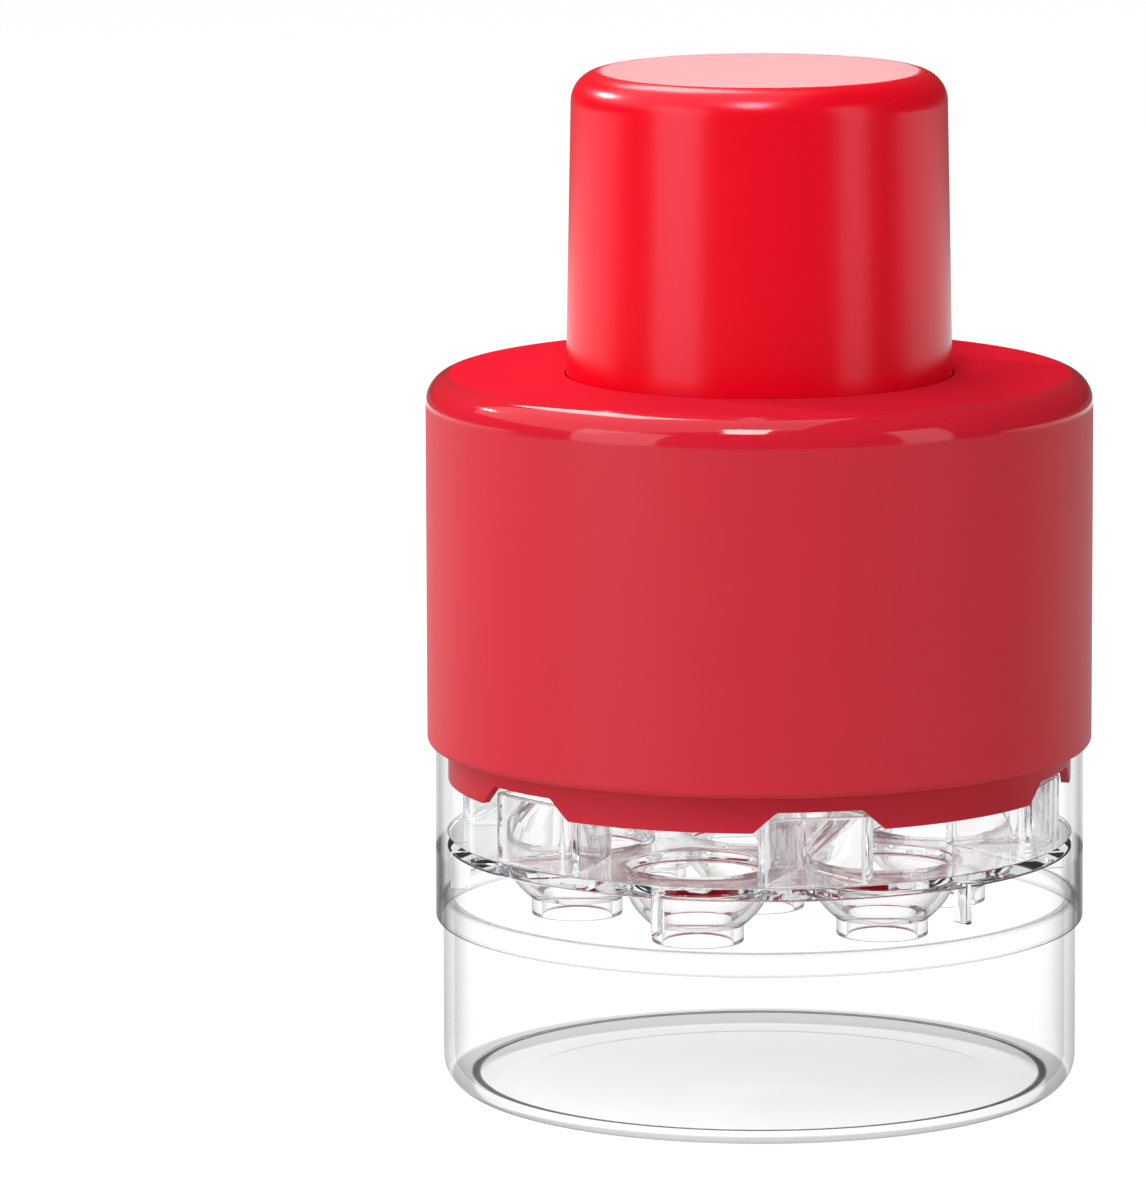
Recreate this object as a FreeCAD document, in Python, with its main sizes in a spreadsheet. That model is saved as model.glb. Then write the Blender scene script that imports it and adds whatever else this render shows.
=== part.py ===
import FreeCAD, Part
import math
import os

import Sketcher
from FreeCAD import Placement, Rotation, Vector

# Push-down pitter for seven cherries at a time.
# A clear pit cup stands at the bottom. The clear cherry tray sits on its rim, and the red upper unit
# sits on the tray. Pressing the cap drives seven plungers through the seven bowls of the tray.
# Frame: +Z up, origin at the centre of the cup's base, one post of the tray at -Y. Millimetres.

# Driving sizes, each set by itself. Radii are measured from the object's axis unless they say otherwise.
SIZES = {
    # pit cup
    "cup_height": 36.0,
    "cup_wall": 2.0,
    "cup_floor": 2.3,
    "cup_corner": 6.1,
    "cup_gap": 0.2,
    "rim_round": 0.5,
    # cherry tray
    "tray_radius": 60.0,
    "tray_rise": 28.7,
    "tray_wall": 2.1,
    "skirt_wall": 1.15,
    "skirt_drop": 4.2,
    "skirt_round": 0.8,
    "plate_rise": 9.6,
    "plate_thick": 2.0,
    "seat_circle": 34.3,
    "bowl_radius": 12.8,
    "bowl_wall": 1.5,
    "bowl_lift": 0.4,
    "exit_radius": 6.5,
    "collar_wall": 1.9,
    "collar_drop": 0.4,
    "post_rise": 12.4,
    "post_half": 8.05,
    "post_corner": 2.5,
    "post_setback": 2.4,
    "post_wall": 1.7,
    "fin_depth": 3.6,
    "fin_thick": 1.4,
    "fin_drop": 7.1,
    # housing
    "overhang": 1.44,
    "housing_wall": 2.2,
    "housing_rise": 68.8,
    "shoulder_round": 5.3,
    "shoulder_thick": 2.5,
    "foot_round": 1.4,
    "cap_gap": 0.4,
    "boss_radius": 4.0,
    "boss_gap": 4.0,
    "web_thick": 2.0,
    # guide plate
    "disc_thick": 2.5,
    "disc_gap": 0.3,
    "lip_drop": 6.9,
    "lip_wall": 1.6,
    "lip_gap": 0.3,
    "notch_rise": 3.8,
    "notch_low": 12.15,
    "notch_high": 7.9,
    "tube_wall": 2.1,
    "tube_rise": 14.8,
    "tube_drop": 2.0,
    # press cap
    "cap_rise": 55.7,
    "cap_base_radius": 35.55,
    "cap_draft": 1.1,
    "cap_round": 5.6,
    "cap_wall": 2.2,
    "flange_width": 6.45,
    "flange_thick": 2.5,
    "stop_gap": 0.2,
    "core_radius": 7.0,
    "core_bore": 4.5,
    "cap_boss_circle": 20.0,
    "cap_web_rise": 40.0,
    # plunger plate and plungers
    "carrier_thick": 4.0,
    "plunger_radius": 4.0,
    "plunger_gap": 0.1,
    "head_radius": 6.0,
    "head_thick": 2.5,
    "head_margin": 1.7,
    "tip_drop": 2.7,
    "tip_taper": 0.4,
    "tip_length": 6.0,
    "crown_depth": 2.6,
    "crown_lip": 0.9,
    "crown_slot": 1.6,
    # return spring
    "spring_radius": 12.0,
    "spring_wire": 1.6,
    "spring_side_gap": 0.5,
    "seat_wall": 1.5,
    "seat_height": 2.0,
    # screws
    "screw_radius": 1.5,
    "screw_length": 12.0,
    "screw_head": 2.8,
    "screw_head_thick": 2.0,
    "screw_slot": 0.9,
    "screw_slot_depth": 1.0,
    "screw_gap": 0.2,
    "thread_gap": 0.05,
    "pilot_extra": 2.0,
}
SEATS = 6
POSTS = 6
SCREWS = 3
ACTIVE_TURNS = 7
END_TURNS = 1
STEPS_PER_TURN = 4
END_TURN_GAP = 0.55
OVERLAP = 0.4
POST_TURN = 180.0 / POSTS
LEAST_SPRING_GAP = 0.4


class Size:
    """A length that carries its value now and its formula over the sheet of sizes."""

    def __init__(self, value, text):
        self.value = value
        self.text = text

    def __add__(self, other):
        other = as_size(other)
        return Size(self.value + other.value, f"({self.text} + {other.text})")

    def __radd__(self, other):
        return as_size(other) + self

    def __sub__(self, other):
        other = as_size(other)
        return Size(self.value - other.value, f"({self.text} - {other.text})")

    def __rsub__(self, other):
        return as_size(other) - self

    def __mul__(self, factor):
        return Size(self.value * factor, f"({self.text} * {factor})")

    __rmul__ = __mul__

    def __neg__(self):
        return self * -1


def as_size(number):
    return number if isinstance(number, Size) else Size(float(number), repr(float(number)))


def larger(one, other):
    return Size(max(one.value, other.value), f"max({one.text}; {other.text})")


class Guess:
    """A coordinate that the outline's other constraints settle, with a starting value."""

    def __init__(self, value):
        self.value = value


class Sheet:
    """Every driving size as an attribute, read from the document's sheet."""

    def __init__(self, doc):
        self.sheet = doc.addObject("Spreadsheet::Sheet", "sizes")
        for row, (name, value) in enumerate(SIZES.items(), start=1):
            self.sheet.set(f"A{row}", name)
            self.sheet.set(f"B{row}", str(value))
            self.sheet.setAlias(f"B{row}", name)
        doc.recompute()
        for name in SIZES:
            setattr(self, name, Size(float(self.sheet.get(name)), f"sizes.{name}"))


doc = FreeCAD.newDocument("cherry_pitter")
d = Sheet(doc)

# Levels and radii worked out from the driving sizes, from the bottom up
skirt_inner = d.tray_radius - d.skirt_wall
cup_radius = skirt_inner - d.cup_gap
cup_inner = cup_radius - d.cup_wall
tray_inner = d.tray_radius - d.tray_wall
skirt_bottom = d.cup_height - d.skirt_drop
plate_bottom = d.cup_height + d.plate_rise
plate_top = plate_bottom + d.plate_thick
bowl_centre = plate_top + d.bowl_lift
bowl_outer = d.bowl_radius + d.bowl_wall
collar_radius = d.exit_radius + d.collar_wall
collar_bottom = bowl_centre - bowl_outer - d.collar_drop
tray_rim = d.cup_height + d.tray_rise
post_face = tray_inner - d.post_setback

housing_radius = d.tray_radius + d.overhang
housing_inner = housing_radius - d.housing_wall
shoulder_top = tray_rim + d.housing_rise
shoulder_bottom = shoulder_top - d.shoulder_thick
opening_radius = d.cap_base_radius + d.cap_gap
flange_radius = larger(d.cap_base_radius + d.flange_width, d.seat_circle + d.head_radius + d.head_margin)
boss_circle = flange_radius + d.boss_gap + d.boss_radius

disc_top = tray_rim + d.disc_thick
disc_radius = housing_inner - d.disc_gap
lip_radius = tray_inner - d.lip_gap
lip_inner = lip_radius - d.lip_wall
lip_bottom = tray_rim - d.lip_drop
bore_radius = d.plunger_radius + d.plunger_gap
tube_radius = bore_radius + d.tube_wall
tube_top = disc_top + d.tube_rise
tube_bottom = tray_rim - d.tube_drop

cap_top = shoulder_top + d.cap_rise
cap_top_radius = d.cap_base_radius - d.cap_draft
flange_top = shoulder_bottom - d.stop_gap
flange_bottom = flange_top - d.flange_thick
carrier_bottom = flange_bottom - d.carrier_thick
tip_bottom = tray_rim - d.tip_drop
seat_ring_inner = d.spring_radius + d.spring_wire * 0.5 + d.spring_side_gap
seat_ring_outer = seat_ring_inner + d.seat_wall
pilot_radius = d.screw_radius + d.thread_gap
screw_hole = d.screw_radius + d.screw_gap
pilot_depth = d.screw_length + d.pilot_extra


def bind(target, path, size):
    target.setExpression(path, as_size(size).text)


def origin_part(body, role):
    return [part for part in body.Origin.OriginFeatures if part.Role == role][0]


def new_body(name):
    body = doc.addObject("PartDesign::Body", name)
    body.Label = name
    return body


def new_sketch(body, name, plane="XZ_Plane", along=None, raised=None, turned=0.0):
    """A sketch on one of the body's origin planes.

    along moves it along its own first axis, raised along its normal, and turned turns it about the normal.
    """
    sketch = body.newObject("Sketcher::SketchObject", name)
    sketch.AttachmentSupport = [(origin_part(body, plane), "")]
    sketch.MapMode = "FlatFace"
    base = Vector(as_size(along or 0).value, 0, as_size(raised or 0).value)
    sketch.AttachmentOffset = Placement(base, Rotation(Vector(0, 0, 1), turned))
    if along is not None:
        bind(sketch, "AttachmentOffset.Base.x", along)
    if raised is not None:
        bind(sketch, "AttachmentOffset.Base.z", raised)
    return sketch


def fix_coordinate(sketch, kind, geometry, point, size):
    """Dimension one coordinate of a point from the sketch's origin, or put it on the axis at zero."""
    if isinstance(size, Guess):
        return
    size = as_size(size)
    if abs(size.value) < 1e-9:
        axis = -2 if kind == "DistanceX" else -1
        sketch.addConstraint(Sketcher.Constraint("PointOnObject", geometry, point, axis))
        return
    if size.value > 0:
        index = sketch.addConstraint(Sketcher.Constraint(kind, -1, 1, geometry, point, size.value))
        bind(sketch, f"Constraints[{index}]", size)
    else:
        index = sketch.addConstraint(Sketcher.Constraint(kind, geometry, point, -1, 1, -size.value))
        bind(sketch, f"Constraints[{index}]", -size)


def fix_point(sketch, geometry, point, place):
    fix_coordinate(sketch, "DistanceX", geometry, point, place[0])
    fix_coordinate(sketch, "DistanceY", geometry, point, place[1])


def number(size):
    return size.value if isinstance(size, (Size, Guess)) else float(size)


def draw_outline(sketch, points, arcs=None):
    """Close a loop through the points. arcs gives the centre of each stretch that is an arc, turning left."""
    arcs = arcs or {}
    spots = [Vector(number(x), number(y), 0) for x, y in points]
    count = len(points)
    for i in range(count):
        start, end = spots[i], spots[(i + 1) % count]
        if i in arcs:
            middle = Vector(number(arcs[i][0]), number(arcs[i][1]), 0)
            circle = Part.Circle(middle, Vector(0, 0, 1), (start - middle).Length)
            angles = [math.atan2(spot.y - middle.y, spot.x - middle.x) for spot in (start, end)]
            sketch.addGeometry(Part.ArcOfCircle(circle, *angles), False)
            fix_point(sketch, i, 3, arcs[i])
        else:
            sketch.addGeometry(Part.LineSegment(start, end), False)
    for i in range(count):
        sketch.addConstraint(Sketcher.Constraint("Coincident", i, 2, (i + 1) % count, 1))
    for i, place in enumerate(points):
        fix_point(sketch, i, 1, place)


def draw_circle(sketch, x, y, radius):
    radius = as_size(radius)
    middle = Vector(number(x), number(y), 0)
    index = sketch.addGeometry(Part.Circle(middle, Vector(0, 0, 1), radius.value), False)
    fix_point(sketch, index, 3, (x, y))
    bind(sketch, f"Constraints[{sketch.addConstraint(Sketcher.Constraint('Radius', index, radius.value))}]", radius)


def draw_rounded_triangle(sketch, face_x, half, corner):
    """An equilateral triangle with its flat side at face_x and its point towards the axis.

    Its three corner arcs lie half apart from the middle line, and the straight sides are tangent to them.
    """
    outer_x = face_x - corner
    inner_x = outer_x - half * math.sqrt(3)
    centres = [(outer_x, -half), (outer_x, half), (inner_x, 0)]
    radius = corner.value
    turns = [(-60, 0), (0, 60), (60, 300)]
    sides = [0, 60, -60]
    for k, (x, y) in enumerate(centres):
        middle = Vector(number(x), number(y), 0)
        circle = Part.Circle(middle, Vector(0, 0, 1), radius)
        start, end = (math.radians(angle) for angle in turns[k])
        sketch.addGeometry(Part.ArcOfCircle(circle, start, end), False)
    for k in range(3):
        normal = Vector(math.cos(math.radians(sides[k])), math.sin(math.radians(sides[k])), 0) * radius
        start = Vector(number(centres[k][0]), number(centres[k][1]), 0) + normal
        following = centres[(k + 1) % 3]
        end = Vector(number(following[0]), number(following[1]), 0) + normal
        sketch.addGeometry(Part.LineSegment(start, end), False)
    for k, centre in enumerate(centres):
        fix_point(sketch, k, 3, centre)
        index = sketch.addConstraint(Sketcher.Constraint("Radius", k, radius))
        bind(sketch, f"Constraints[{index}]", corner)
        sketch.addConstraint(Sketcher.Constraint("Tangent", k, 2, 3 + k, 1))
        sketch.addConstraint(Sketcher.Constraint("Tangent", 3 + k, 2, (k + 1) % 3, 1))


def volume(body):
    doc.recompute()
    return body.Shape.Volume


def grown(body, before, name):
    if volume(body) <= before + 1e-3:
        raise RuntimeError(f"{body.Label}: {name} adds nothing")


def shrunk(body, before, name):
    if volume(body) >= before - 1e-3:
        raise RuntimeError(f"{body.Label}: {name} cuts nothing")


def revolve(body, name, sketch, cut=False):
    before = volume(body) if body.Tip else 0.0
    feature = body.newObject("PartDesign::Groove" if cut else "PartDesign::Revolution", name)
    feature.Profile = sketch
    feature.ReferenceAxis = (sketch, ["V_Axis"])
    feature.Angle = 360
    (shrunk if cut else grown)(body, before, name)
    return feature


def extrude(body, name, sketch, length, cut=False, down=False, both=False):
    """Pad or pocket a sketch by length, upwards unless down is set, or half each way with both."""
    before = volume(body) if body.Tip else 0.0
    feature = body.newObject("PartDesign::Pocket" if cut else "PartDesign::Pad", name)
    feature.Profile = sketch
    feature.Type = "Length"
    bind(feature, "Length", length)
    # A pocket runs against its sketch's normal, and a pad along it
    feature.Reversed = down != cut
    feature.Midplane = both
    (shrunk if cut else grown)(body, before, name)
    return feature


def around(body, name, features, count, angle=360.0):
    """Repeat features about the axis: count places over the whole angle."""
    before = volume(body)
    pattern = body.newObject("PartDesign::PolarPattern", name)
    pattern.Originals = features
    pattern.Axis = (origin_part(body, "Z_Axis"), [""])
    pattern.Angle = angle
    pattern.Occurrences = count
    body.Tip = pattern
    if abs(volume(body) - before) < 1e-3:
        raise RuntimeError(f"{body.Label}: {name} changes nothing")
    return pattern


def circle_edges(shape, radius, level):
    """Names of the circular edges about the axis with this radius at this height."""
    names = []
    for i, edge in enumerate(shape.Edges, start=1):
        curve = edge.Curve
        if not isinstance(curve, Part.Circle):
            continue
        on_axis = math.hypot(curve.Center.x, curve.Center.y) < 1e-4
        if on_axis and abs(curve.Radius - number(radius)) < 1e-3 and abs(curve.Center.z - number(level)) < 1e-3:
            names.append(f"Edge{i}")
    return names


def round_edges(body, name, places, radius, kind="Fillet"):
    """Round, or bevel, the circular edges at these (radius, height) places."""
    doc.recompute()
    base = body.Tip
    edges = [edge for place in places for edge in circle_edges(base.Shape, *place)]
    if len(edges) < len(places):
        raise RuntimeError(f"{body.Label}: {name} finds {len(edges)} of {len(places)} edges")
    feature = body.newObject(f"PartDesign::{kind}", name)
    feature.Base = (base, edges)
    bind(feature, "Radius" if kind == "Fillet" else "Size", radius)
    doc.recompute()
    return feature


def make_pit_cup():
    """The clear cup that catches the pits, with a rounded bottom corner inside and out."""
    body = new_body("pit_cup")
    sketch = new_sketch(body, "cup_profile")
    draw_outline(sketch, [
        (0, 0),
        (cup_radius, 0),
        (cup_radius, d.cup_height),
        (cup_inner, d.cup_height),
        (cup_inner, d.cup_floor),
        (0, d.cup_floor),
    ])
    revolve(body, "cup_shell", sketch)
    round_edges(body, "outer_corner", [(cup_radius, 0)], d.cup_corner)
    round_edges(body, "inner_corner", [(cup_inner, d.cup_floor)], d.cup_corner - d.cup_wall)
    round_edges(body, "rim", [(cup_radius, d.cup_height)], d.rim_round)


def draw_bowl(body, name, place):
    """The solid under a bowl: a ball below the plate, with the collar of its exit hole."""
    sketch = new_sketch(body, name, along=place)
    meeting = bowl_centre.value - math.sqrt(bowl_outer.value ** 2 - collar_radius.value ** 2)
    middle = plate_bottom + d.plate_thick * 0.5
    edge = math.sqrt(bowl_outer.value ** 2 - (bowl_centre.value - middle.value) ** 2)
    draw_outline(sketch, [
        (0, collar_bottom),
        (collar_radius, collar_bottom),
        (collar_radius, Guess(meeting)),
        (Guess(edge), middle),
        (0, middle),
    ], arcs={2: (0, bowl_centre)})
    index = sketch.addConstraint(Sketcher.Constraint("Radius", 2, bowl_outer.value))
    bind(sketch, f"Constraints[{index}]", bowl_outer)
    return sketch


def draw_bowl_hollow(body, name, place):
    """What is cut from a bowl: the hollow ball, open at the top, and the exit hole through the collar."""
    sketch = new_sketch(body, name, along=place)
    meeting = bowl_centre.value - math.sqrt(d.bowl_radius.value ** 2 - d.exit_radius.value ** 2)
    draw_outline(sketch, [
        (0, collar_bottom - 1),
        (d.exit_radius, collar_bottom - 1),
        (d.exit_radius, Guess(meeting)),
        (d.bowl_radius, bowl_centre),
        (d.bowl_radius, plate_top + 1),
        (0, plate_top + 1),
    ], arcs={2: (0, bowl_centre)})
    return sketch


def make_cherry_tray():
    """The clear tray: wall, plate, seven bowls, six hollow posts and six fins under the plate.

    Its skirt slips over the cup, and the step above the skirt rests on the cup's rim.
    """
    body = new_body("cherry_tray")
    profile = new_sketch(body, "tray_profile")
    draw_outline(profile, [
        (0, plate_bottom),
        (tray_inner, plate_bottom),
        (tray_inner, d.cup_height),
        (skirt_inner, d.cup_height),
        (skirt_inner, skirt_bottom),
        (d.tray_radius, skirt_bottom),
        (d.tray_radius, tray_rim),
        (tray_inner, tray_rim),
        (tray_inner, plate_top),
        (0, plate_top),
    ])
    revolve(body, "wall_and_plate", profile)
    round_edges(body, "skirt_edge", [(d.tray_radius, skirt_bottom)], d.skirt_round)

    revolve(body, "centre_bowl", draw_bowl(body, "centre_bowl_profile", 0))
    outer_bowl = revolve(body, "outer_bowl", draw_bowl(body, "outer_bowl_profile", d.seat_circle))
    around(body, "outer_bowls", [outer_bowl], SEATS)

    post_sketch = new_sketch(body, "post_outline", "XY_Plane", raised=plate_top - OVERLAP, turned=POST_TURN)
    draw_rounded_triangle(post_sketch, post_face, d.post_half, d.post_corner)
    post = extrude(body, "post", post_sketch, d.post_rise + OVERLAP)
    around(body, "posts", [post], POSTS)

    fin_sketch = new_sketch(body, "fin_outline", "XY_Plane", raised=plate_bottom - d.fin_drop)
    draw_outline(fin_sketch, [
        (tray_inner - d.fin_depth, d.fin_thick * -0.5),
        (tray_inner + OVERLAP, d.fin_thick * -0.5),
        (tray_inner + OVERLAP, d.fin_thick * 0.5),
        (tray_inner - d.fin_depth, d.fin_thick * 0.5),
    ])
    fin = extrude(body, "fin", fin_sketch, d.fin_drop + OVERLAP)
    around(body, "fins", [fin], SEATS)

    revolve(body, "centre_hollow", draw_bowl_hollow(body, "centre_hollow_profile", 0), cut=True)
    hollow = revolve(body, "outer_hollow", draw_bowl_hollow(body, "outer_hollow_profile", d.seat_circle), cut=True)
    around(body, "outer_hollows", [hollow], SEATS)

    well_sketch = new_sketch(body, "well_outline", "XY_Plane", raised=plate_top, turned=POST_TURN)
    draw_rounded_triangle(well_sketch, post_face - d.post_wall, d.post_half, d.post_corner - d.post_wall)
    well = extrude(body, "well", well_sketch, d.post_rise + 1, cut=True)
    around(body, "wells", [well], POSTS)


def draw_seat_ring(body, name, level):
    """The ring that keeps an end coil of the spring in place, round the outside of the coil."""
    sketch = new_sketch(body, name, "XY_Plane", raised=level)
    draw_circle(sketch, 0, 0, seat_ring_inner)
    draw_circle(sketch, 0, 0, seat_ring_outer)
    return sketch


def make_guide_plate():
    """The red plate under the housing: notched lip inside the tray's wall, and seven guide tubes."""
    body = new_body("guide_plate")
    profile = new_sketch(body, "guide_profile")
    draw_outline(profile, [
        (0, tray_rim),
        (lip_inner, tray_rim),
        (lip_inner, lip_bottom),
        (lip_radius, lip_bottom),
        (lip_radius, tray_rim),
        (disc_radius, tray_rim),
        (disc_radius, disc_top),
        (0, disc_top),
    ])
    revolve(body, "disc_and_lip", profile)

    centre_sketch = new_sketch(body, "centre_tube_outline", "XY_Plane", raised=tube_bottom)
    draw_circle(centre_sketch, 0, 0, tube_radius)
    extrude(body, "centre_tube", centre_sketch, tube_top - tube_bottom)
    tube_sketch = new_sketch(body, "tube_outline", "XY_Plane", raised=tube_bottom)
    draw_circle(tube_sketch, d.seat_circle, 0, tube_radius)
    tube = extrude(body, "tube", tube_sketch, tube_top - tube_bottom)
    around(body, "tubes", [tube], SEATS)
    extrude(body, "spring_seat", draw_seat_ring(body, "seat_outline", disc_top - OVERLAP), d.seat_height + OVERLAP)

    notch_sketch = new_sketch(body, "notch_outline")
    draw_outline(notch_sketch, [
        (-d.notch_low, lip_bottom - 1),
        (d.notch_low, lip_bottom - 1),
        (d.notch_low, lip_bottom),
        (d.notch_high, lip_bottom + d.notch_rise),
        (-d.notch_high, lip_bottom + d.notch_rise),
        (-d.notch_low, lip_bottom),
    ])
    notch = extrude(body, "notch", notch_sketch, d.tray_radius * 2, cut=True, both=True)
    around(body, "notches", [notch], POSTS // 2, angle=180.0 - 360.0 / POSTS)

    centre_bore = new_sketch(body, "centre_bore_outline", "XY_Plane", raised=tube_bottom - 1)
    draw_circle(centre_bore, 0, 0, bore_radius)
    extrude(body, "centre_bore", centre_bore, tube_top - tube_bottom + 2, cut=True)
    bore_sketch = new_sketch(body, "bore_outline", "XY_Plane", raised=tube_bottom - 1)
    draw_circle(bore_sketch, d.seat_circle, 0, bore_radius)
    bore = extrude(body, "bore", bore_sketch, tube_top - tube_bottom + 2, cut=True)
    around(body, "bores", [bore], SEATS)

    hole_sketch = new_sketch(body, "screw_hole_outline", "XY_Plane", raised=tray_rim - 1, turned=POST_TURN)
    draw_circle(hole_sketch, boss_circle, 0, screw_hole)
    hole = extrude(body, "screw_hole", hole_sketch, d.disc_thick + 2, cut=True)
    around(body, "screw_holes", [hole], SCREWS)


def make_housing():
    """The red casing: a wall on the tray's rim, a rounded shoulder with the cap's opening, screw bosses."""
    body = new_body("housing")
    profile = new_sketch(body, "housing_profile")
    draw_outline(profile, [
        (housing_inner, tray_rim),
        (housing_radius, tray_rim),
        (housing_radius, shoulder_top),
        (opening_radius, shoulder_top),
        (opening_radius, shoulder_bottom),
        (housing_inner, shoulder_bottom),
    ])
    revolve(body, "casing", profile)
    round_edges(body, "shoulder", [(housing_radius, shoulder_top)], d.shoulder_round)
    round_edges(body, "inner_shoulder", [(housing_inner, shoulder_bottom)], d.shoulder_round - d.housing_wall)
    round_edges(body, "foot", [(housing_radius, tray_rim)], d.foot_round)

    boss_rise = shoulder_bottom - disc_top + OVERLAP
    boss_sketch = new_sketch(body, "boss_outline", "XY_Plane", raised=disc_top, turned=POST_TURN)
    draw_circle(boss_sketch, boss_circle, 0, d.boss_radius)
    boss = extrude(body, "boss", boss_sketch, boss_rise)
    web_sketch = new_sketch(body, "web_outline", "XY_Plane", raised=disc_top, turned=POST_TURN)
    draw_outline(web_sketch, [
        (boss_circle + d.screw_radius * 2, d.web_thick * -0.5),
        (housing_inner + OVERLAP, d.web_thick * -0.5),
        (housing_inner + OVERLAP, d.web_thick * 0.5),
        (boss_circle + d.screw_radius * 2, d.web_thick * 0.5),
    ])
    web = extrude(body, "web", web_sketch, boss_rise)
    around(body, "bosses", [boss, web], SCREWS)

    pilot_sketch = new_sketch(body, "pilot_outline", "XY_Plane", raised=disc_top - 1, turned=POST_TURN)
    draw_circle(pilot_sketch, boss_circle, 0, pilot_radius)
    pilot = extrude(body, "pilot", pilot_sketch, pilot_depth + 1, cut=True)
    around(body, "pilots", [pilot], SCREWS)


def make_press_cap():
    """The glossy red cap that the palm presses, with a flange below that stops it under the shoulder.

    Three screw bosses and a middle core run down inside it to the plunger plate, tied by webs.
    """
    body = new_body("press_cap")
    inner_top = cap_top - d.cap_wall
    profile = new_sketch(body, "cap_profile")
    draw_outline(profile, [
        (0, inner_top),
        (cap_top_radius - d.cap_wall, inner_top),
        (d.cap_base_radius - d.cap_wall, flange_bottom),
        (flange_radius, flange_bottom),
        (flange_radius, flange_top),
        (d.cap_base_radius, flange_top),
        (d.cap_base_radius, shoulder_top),
        (cap_top_radius, cap_top),
        (0, cap_top),
    ])
    revolve(body, "cap_shell", profile)
    round_edges(body, "top_edge", [(cap_top_radius, cap_top)], d.cap_round)
    round_edges(body, "inner_edge", [(cap_top_radius - d.cap_wall, inner_top)], d.cap_round - d.cap_wall)

    column_rise = inner_top - flange_bottom + OVERLAP
    core_sketch = new_sketch(body, "core_outline", "XY_Plane", raised=flange_bottom)
    draw_circle(core_sketch, 0, 0, d.core_radius)
    draw_circle(core_sketch, 0, 0, d.core_bore)
    extrude(body, "core", core_sketch, column_rise)
    boss_sketch = new_sketch(body, "cap_boss_outline", "XY_Plane", raised=flange_bottom, turned=POST_TURN)
    draw_circle(boss_sketch, d.cap_boss_circle, 0, d.boss_radius)
    boss = extrude(body, "cap_boss", boss_sketch, column_rise)
    web_sketch = new_sketch(body, "cap_web_outline", "XY_Plane", raised=flange_bottom, turned=POST_TURN)
    draw_outline(web_sketch, [
        (d.core_radius - OVERLAP, d.web_thick * -0.5),
        (d.cap_base_radius - d.cap_wall + OVERLAP, d.web_thick * -0.5),
        (d.cap_base_radius - d.cap_wall + OVERLAP, d.web_thick * 0.5),
        (d.core_radius - OVERLAP, d.web_thick * 0.5),
    ])
    web = extrude(body, "cap_web", web_sketch, d.cap_web_rise)
    around(body, "cap_bosses", [boss, web], SCREWS)

    pilot_sketch = new_sketch(body, "cap_pilot_outline", "XY_Plane", raised=flange_bottom - 1, turned=POST_TURN)
    draw_circle(pilot_sketch, d.cap_boss_circle, 0, pilot_radius)
    pilot = extrude(body, "cap_pilot", pilot_sketch, pilot_depth + 1, cut=True)
    around(body, "cap_pilots", [pilot], SCREWS)


def make_plunger_plate():
    """The plate under the cap's flange: stepped holes hold the heads of the seven plungers."""
    body = new_body("plunger_plate")
    disc_sketch = new_sketch(body, "carrier_outline", "XY_Plane", raised=carrier_bottom)
    draw_circle(disc_sketch, 0, 0, flange_radius)
    extrude(body, "carrier", disc_sketch, d.carrier_thick)
    seat_level = carrier_bottom - d.seat_height
    extrude(body, "upper_seat", draw_seat_ring(body, "upper_seat_outline", seat_level), d.seat_height + OVERLAP)

    shank_hole = d.plunger_radius + d.plunger_gap
    head_hole = d.head_radius + d.plunger_gap
    head_level = flange_bottom - d.head_thick
    for name, radius, level in (("shank", shank_hole, carrier_bottom - 1), ("head", head_hole, head_level)):
        centre_sketch = new_sketch(body, f"centre_{name}_outline", "XY_Plane", raised=level)
        draw_circle(centre_sketch, 0, 0, radius)
        extrude(body, f"centre_{name}_hole", centre_sketch, d.carrier_thick + 2, cut=True)
        outer_sketch = new_sketch(body, f"{name}_outline", "XY_Plane", raised=level)
        draw_circle(outer_sketch, d.seat_circle, 0, radius)
        hole = extrude(body, f"{name}_hole", outer_sketch, d.carrier_thick + 2, cut=True)
        around(body, f"{name}_holes", [hole], SEATS)

    screw_sketch = new_sketch(body, "plate_screw_outline", "XY_Plane", raised=carrier_bottom - 1, turned=POST_TURN)
    draw_circle(screw_sketch, d.cap_boss_circle, 0, screw_hole)
    hole = extrude(body, "plate_screw_hole", screw_sketch, d.carrier_thick + 2, cut=True)
    around(body, "plate_screw_holes", [hole], SCREWS)


def make_plunger(name, seat):
    """One plunger: flat head, round rod and a hollow four-pronged crown that pushes the pit."""
    body = new_body(name)
    tip_radius = d.plunger_radius - d.tip_taper
    profile = new_sketch(body, f"{name}_profile")
    draw_outline(profile, [
        (0, tip_bottom + d.crown_depth),
        (tip_radius - d.crown_lip, tip_bottom),
        (tip_radius, tip_bottom),
        (d.plunger_radius, tip_bottom + d.tip_length),
        (d.plunger_radius, flange_bottom - d.head_thick),
        (d.head_radius, flange_bottom - d.head_thick),
        (d.head_radius, flange_bottom),
        (0, flange_bottom),
    ])
    revolve(body, f"{name}_rod", profile)
    slot_sketch = new_sketch(body, f"{name}_slot_outline")
    draw_outline(slot_sketch, [
        (d.crown_slot * -0.5, tip_bottom - 1),
        (d.crown_slot * 0.5, tip_bottom - 1),
        (d.crown_slot * 0.5, tip_bottom + d.crown_depth),
        (d.crown_slot * -0.5, tip_bottom + d.crown_depth),
    ])
    slot = extrude(body, f"{name}_slot", slot_sketch, d.plunger_radius * 3, cut=True, both=True)
    around(body, f"{name}_slots", [slot], 2, angle=90.0)
    if seat is not None:
        turn = 360.0 / SEATS * seat
        body.setExpression("Placement.Base.x", f"{d.seat_circle.text} * cos({turn} deg)")
        body.setExpression("Placement.Base.y", f"{d.seat_circle.text} * sin({turn} deg)")


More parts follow.
